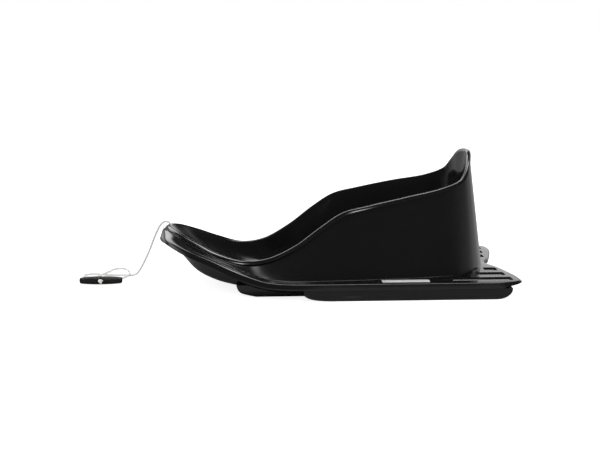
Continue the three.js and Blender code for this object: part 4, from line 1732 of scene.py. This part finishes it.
@dataclass(frozen=True)
class Softbox:
    """Area lamp that looks at the sled, left out of its reflections."""

    name: str
    place: Share
    size: tuple[float, float]
    power: float
    target: Share = (0.0, 0.0, 0.1)

    def build(self) -> None:
        """Build the lamp."""
        data = bpy.data.lights.new(self.name, "AREA")
        data.shape = "RECTANGLE"
        data.size, data.size_y = self.size
        data.energy = self.power
        lamp = new_object(self.name, data)
        lamp.location = self.place
        away = Vector(self.place) - Vector(self.target)
        lamp.rotation_euler = away.to_track_quat("Z", "Y").to_euler()
        lamp.visible_glossy = False


@dataclass(frozen=True)
class Reflector:
    """Soft-edged bright part of the room, seen in reflections alone.

    Attributes:
        strength: Its strength where it is brightest.
        edges: Axis of each edge, where along it the part begins and where it is at its full.
    """

    strength: float
    edges: tuple[tuple[str, float, float], ...]

    def glow(self, table: NodeTable, parts: bpy.types.Node) -> bpy.types.NodeSocket:
        """Strength towards a direction.

        Args:
            table: The world's nodes.
            parts: Node with the direction's X, Y and Z.

        Returns:
            The strength.
        """
        value = self.strength
        for axis, begins, full in self.edges:
            value = table.math("MULTIPLY", table.ramp(parts.outputs[axis], begins, full), value)
        return value


@dataclass
class Studio:
    """White surroundings, a pale floor, a soft lamp and what the gloss reflects.

    Attributes:
        ambient: Strength of the light from all round.
        room: Strength of the dark room in reflections.
        floor_reflected: Tone of the floor in reflections.
        floor_colour: Tone of the floor.
        floor_lift: Light of its own that keeps the floor white to the camera.
        floor_size: Length of the floor's sides.
        floor_drop: How far the floor lies below the ground, clear of what stands on it.
        lamps: The lamps.
        reflectors: Bright parts of the room: the low backdrop, the strip overhead, one high
            behind the nose, one at the nose's end and one at the tail's.
    """

    ambient: float = 0.75
    room: float = 0.06
    floor_reflected: float = 0.5
    floor_colour: float = 0.85
    floor_lift: float = 0.84
    floor_size: float = 40.0
    floor_drop: float = 0.2 * MM
    lamps: tuple[Softbox, ...] = (
        Softbox("overhead", (-0.05, -0.2, 1.6), (1.7, 0.9), 9.0, (-0.05, -0.15, 0.1)),
    )
    reflectors: tuple[Reflector, ...] = (
        Reflector(1.3, (("Y", 0.4, 0.75), ("Z", 0.36, 0.2))),
        Reflector(12.0, (("X", -0.2, -0.08), ("X", 0.5, 0.35), ("Y", -0.5, -0.3),
                         ("Y", 0.25, 0.05), ("Z", 0.55, 0.75))),
        Reflector(5.0, (("X", -0.05, -0.2), ("Y", 0.24, 0.38), ("Y", 0.9, 0.75),
                        ("Z", 0.36, 0.5))),
        Reflector(1.9, (("X", -0.4, -0.7), ("Y", -0.33, -0.2), ("Y", 0.4, 0.2),
                        ("Z", 0.04, 0.16), ("Z", 0.66, 0.45))),
        Reflector(1.0, (("X", 0.6, 0.85), ("Y", 0.2, 0.45), ("Z", 0.75, 0.5))),
    )

    def world(self) -> None:
        """White to the camera, a dark room with its reflectors to the gloss."""
        world = bpy.data.worlds.new("studio")
        bpy.context.scene.world = world
        world.use_nodes = True
        table = NodeTable(world.node_tree)
        rays = table.add("ShaderNodeLightPath")
        parts = table.add("ShaderNodeSeparateXYZ")
        table.join(table.add("ShaderNodeTexCoord").outputs["Generated"], parts.inputs[0])
        seen = self.room
        for reflector in self.reflectors:
            seen = table.math("MAXIMUM", reflector.glow(table, parts), seen)
        soft = table.math("MULTIPLY", rays.outputs["Is Diffuse Ray"], self.ambient)
        shiny = table.math("MULTIPLY", rays.outputs["Is Glossy Ray"], seen)
        direct = table.math("MAXIMUM", rays.outputs["Is Camera Ray"],
                            rays.outputs["Is Transmission Ray"])
        strength = table.math("MAXIMUM", table.math("MAXIMUM", soft, shiny), direct)
        table.join(strength, world.node_tree.nodes["Background"].inputs["Strength"])
        world.node_tree.nodes["Background"].inputs["Color"].default_value = (1, 1, 1, 1)

    def floor(self) -> None:
        """Plain pale floor that keeps the sled's shadow."""
        deselect()
        bpy.ops.mesh.primitive_plane_add(size=self.floor_size, location=(0, 0, -self.floor_drop))
        floor = bpy.context.object
        floor.name = "studio_floor"
        settle(floor)
        material, table = new_material("pale_floor")
        tree = material.node_tree
        tree.nodes.remove(tree.nodes["Principled BSDF"])
        rays = table.add("ShaderNodeLightPath")
        paint = table.add("ShaderNodeBsdfDiffuse")
        dim, plain = (Vector((tone, tone, tone)).to_4d()
                      for tone in (self.floor_reflected, self.floor_colour))
        table.join(table.mix(rays.outputs["Is Glossy Ray"], plain, dim), paint.inputs["Color"])
        lift = table.add("ShaderNodeEmission")
        seen = table.math("MULTIPLY", rays.outputs["Is Camera Ray"], self.floor_lift)
        table.join(seen, lift.inputs["Strength"])
        both = table.add("ShaderNodeAddShader")
        table.join(paint.outputs[0], both.inputs[0])
        table.join(lift.outputs[0], both.inputs[1])
        table.join(both.outputs[0], tree.nodes["Material Output"].inputs["Surface"])
        floor.data.materials.append(material)

    def build(self) -> None:
        """Build the world, the floor and the lamps."""
        scene = bpy.context.scene
        scene.view_settings.view_transform = "Standard"
        self.world()
        self.floor()
        for lamp in self.lamps:
            lamp.build()


def main() -> None:
    """Build the dressed sled and its studio on the frame."""
    logging.basicConfig(level=logging.INFO, format="%(name)s: %(message)s")
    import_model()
    Portrait().build()

    effects = Effects()
    effects.build()
    gloss = PlasticFinish(
        "black_gloss_plastic", colour=(0.0075, 0.0072, 0.0072, 1), marked=(0.03, 0.03, 0.03, 1),
        roughness=(0.13, 0.17), grain=0.012 * MM, fine=900.0, density=0.03)
    matte = PlasticFinish(
        "black_matte_plastic", colour=(0.009, 0.009, 0.0095, 1), marked=(0.05, 0.05, 0.05, 1),
        roughness=(0.42, 0.52), grain=0.09 * MM, fine=1400.0, density=0.5, specular=0.35)
    grip = PlasticFinish(
        "black_grip_plastic", colour=(0.008, 0.008, 0.008, 1), marked=(0.04, 0.04, 0.04, 1),
        roughness=(0.36, 0.46), grain=0.06 * MM, fine=1600.0, density=0.4, specular=0.25)
    hull, rail, handle_black = (finish.material(effects) for finish in (gloss, matte, grip))

    rope = TowRope()
    handle = TowHandle().build(handle_black)
    rope.build(YarnFinish().material(), handle)
    start, following = rope.line()[:2]
    SeatTub().build(hull, start, (following - start).normalized())
    BodyShell().build(hull)
    HullPan().build(hull)
    RunnerRail(-1, "runner_rail_left", "runner_left").build(rail)
    RunnerRail(1, "runner_rail_right", "runner_right").build(rail)
    FilmStrip().build(FilmFinish().material(effects))
    Studio().build()


if __name__ == "__main__":
    main()
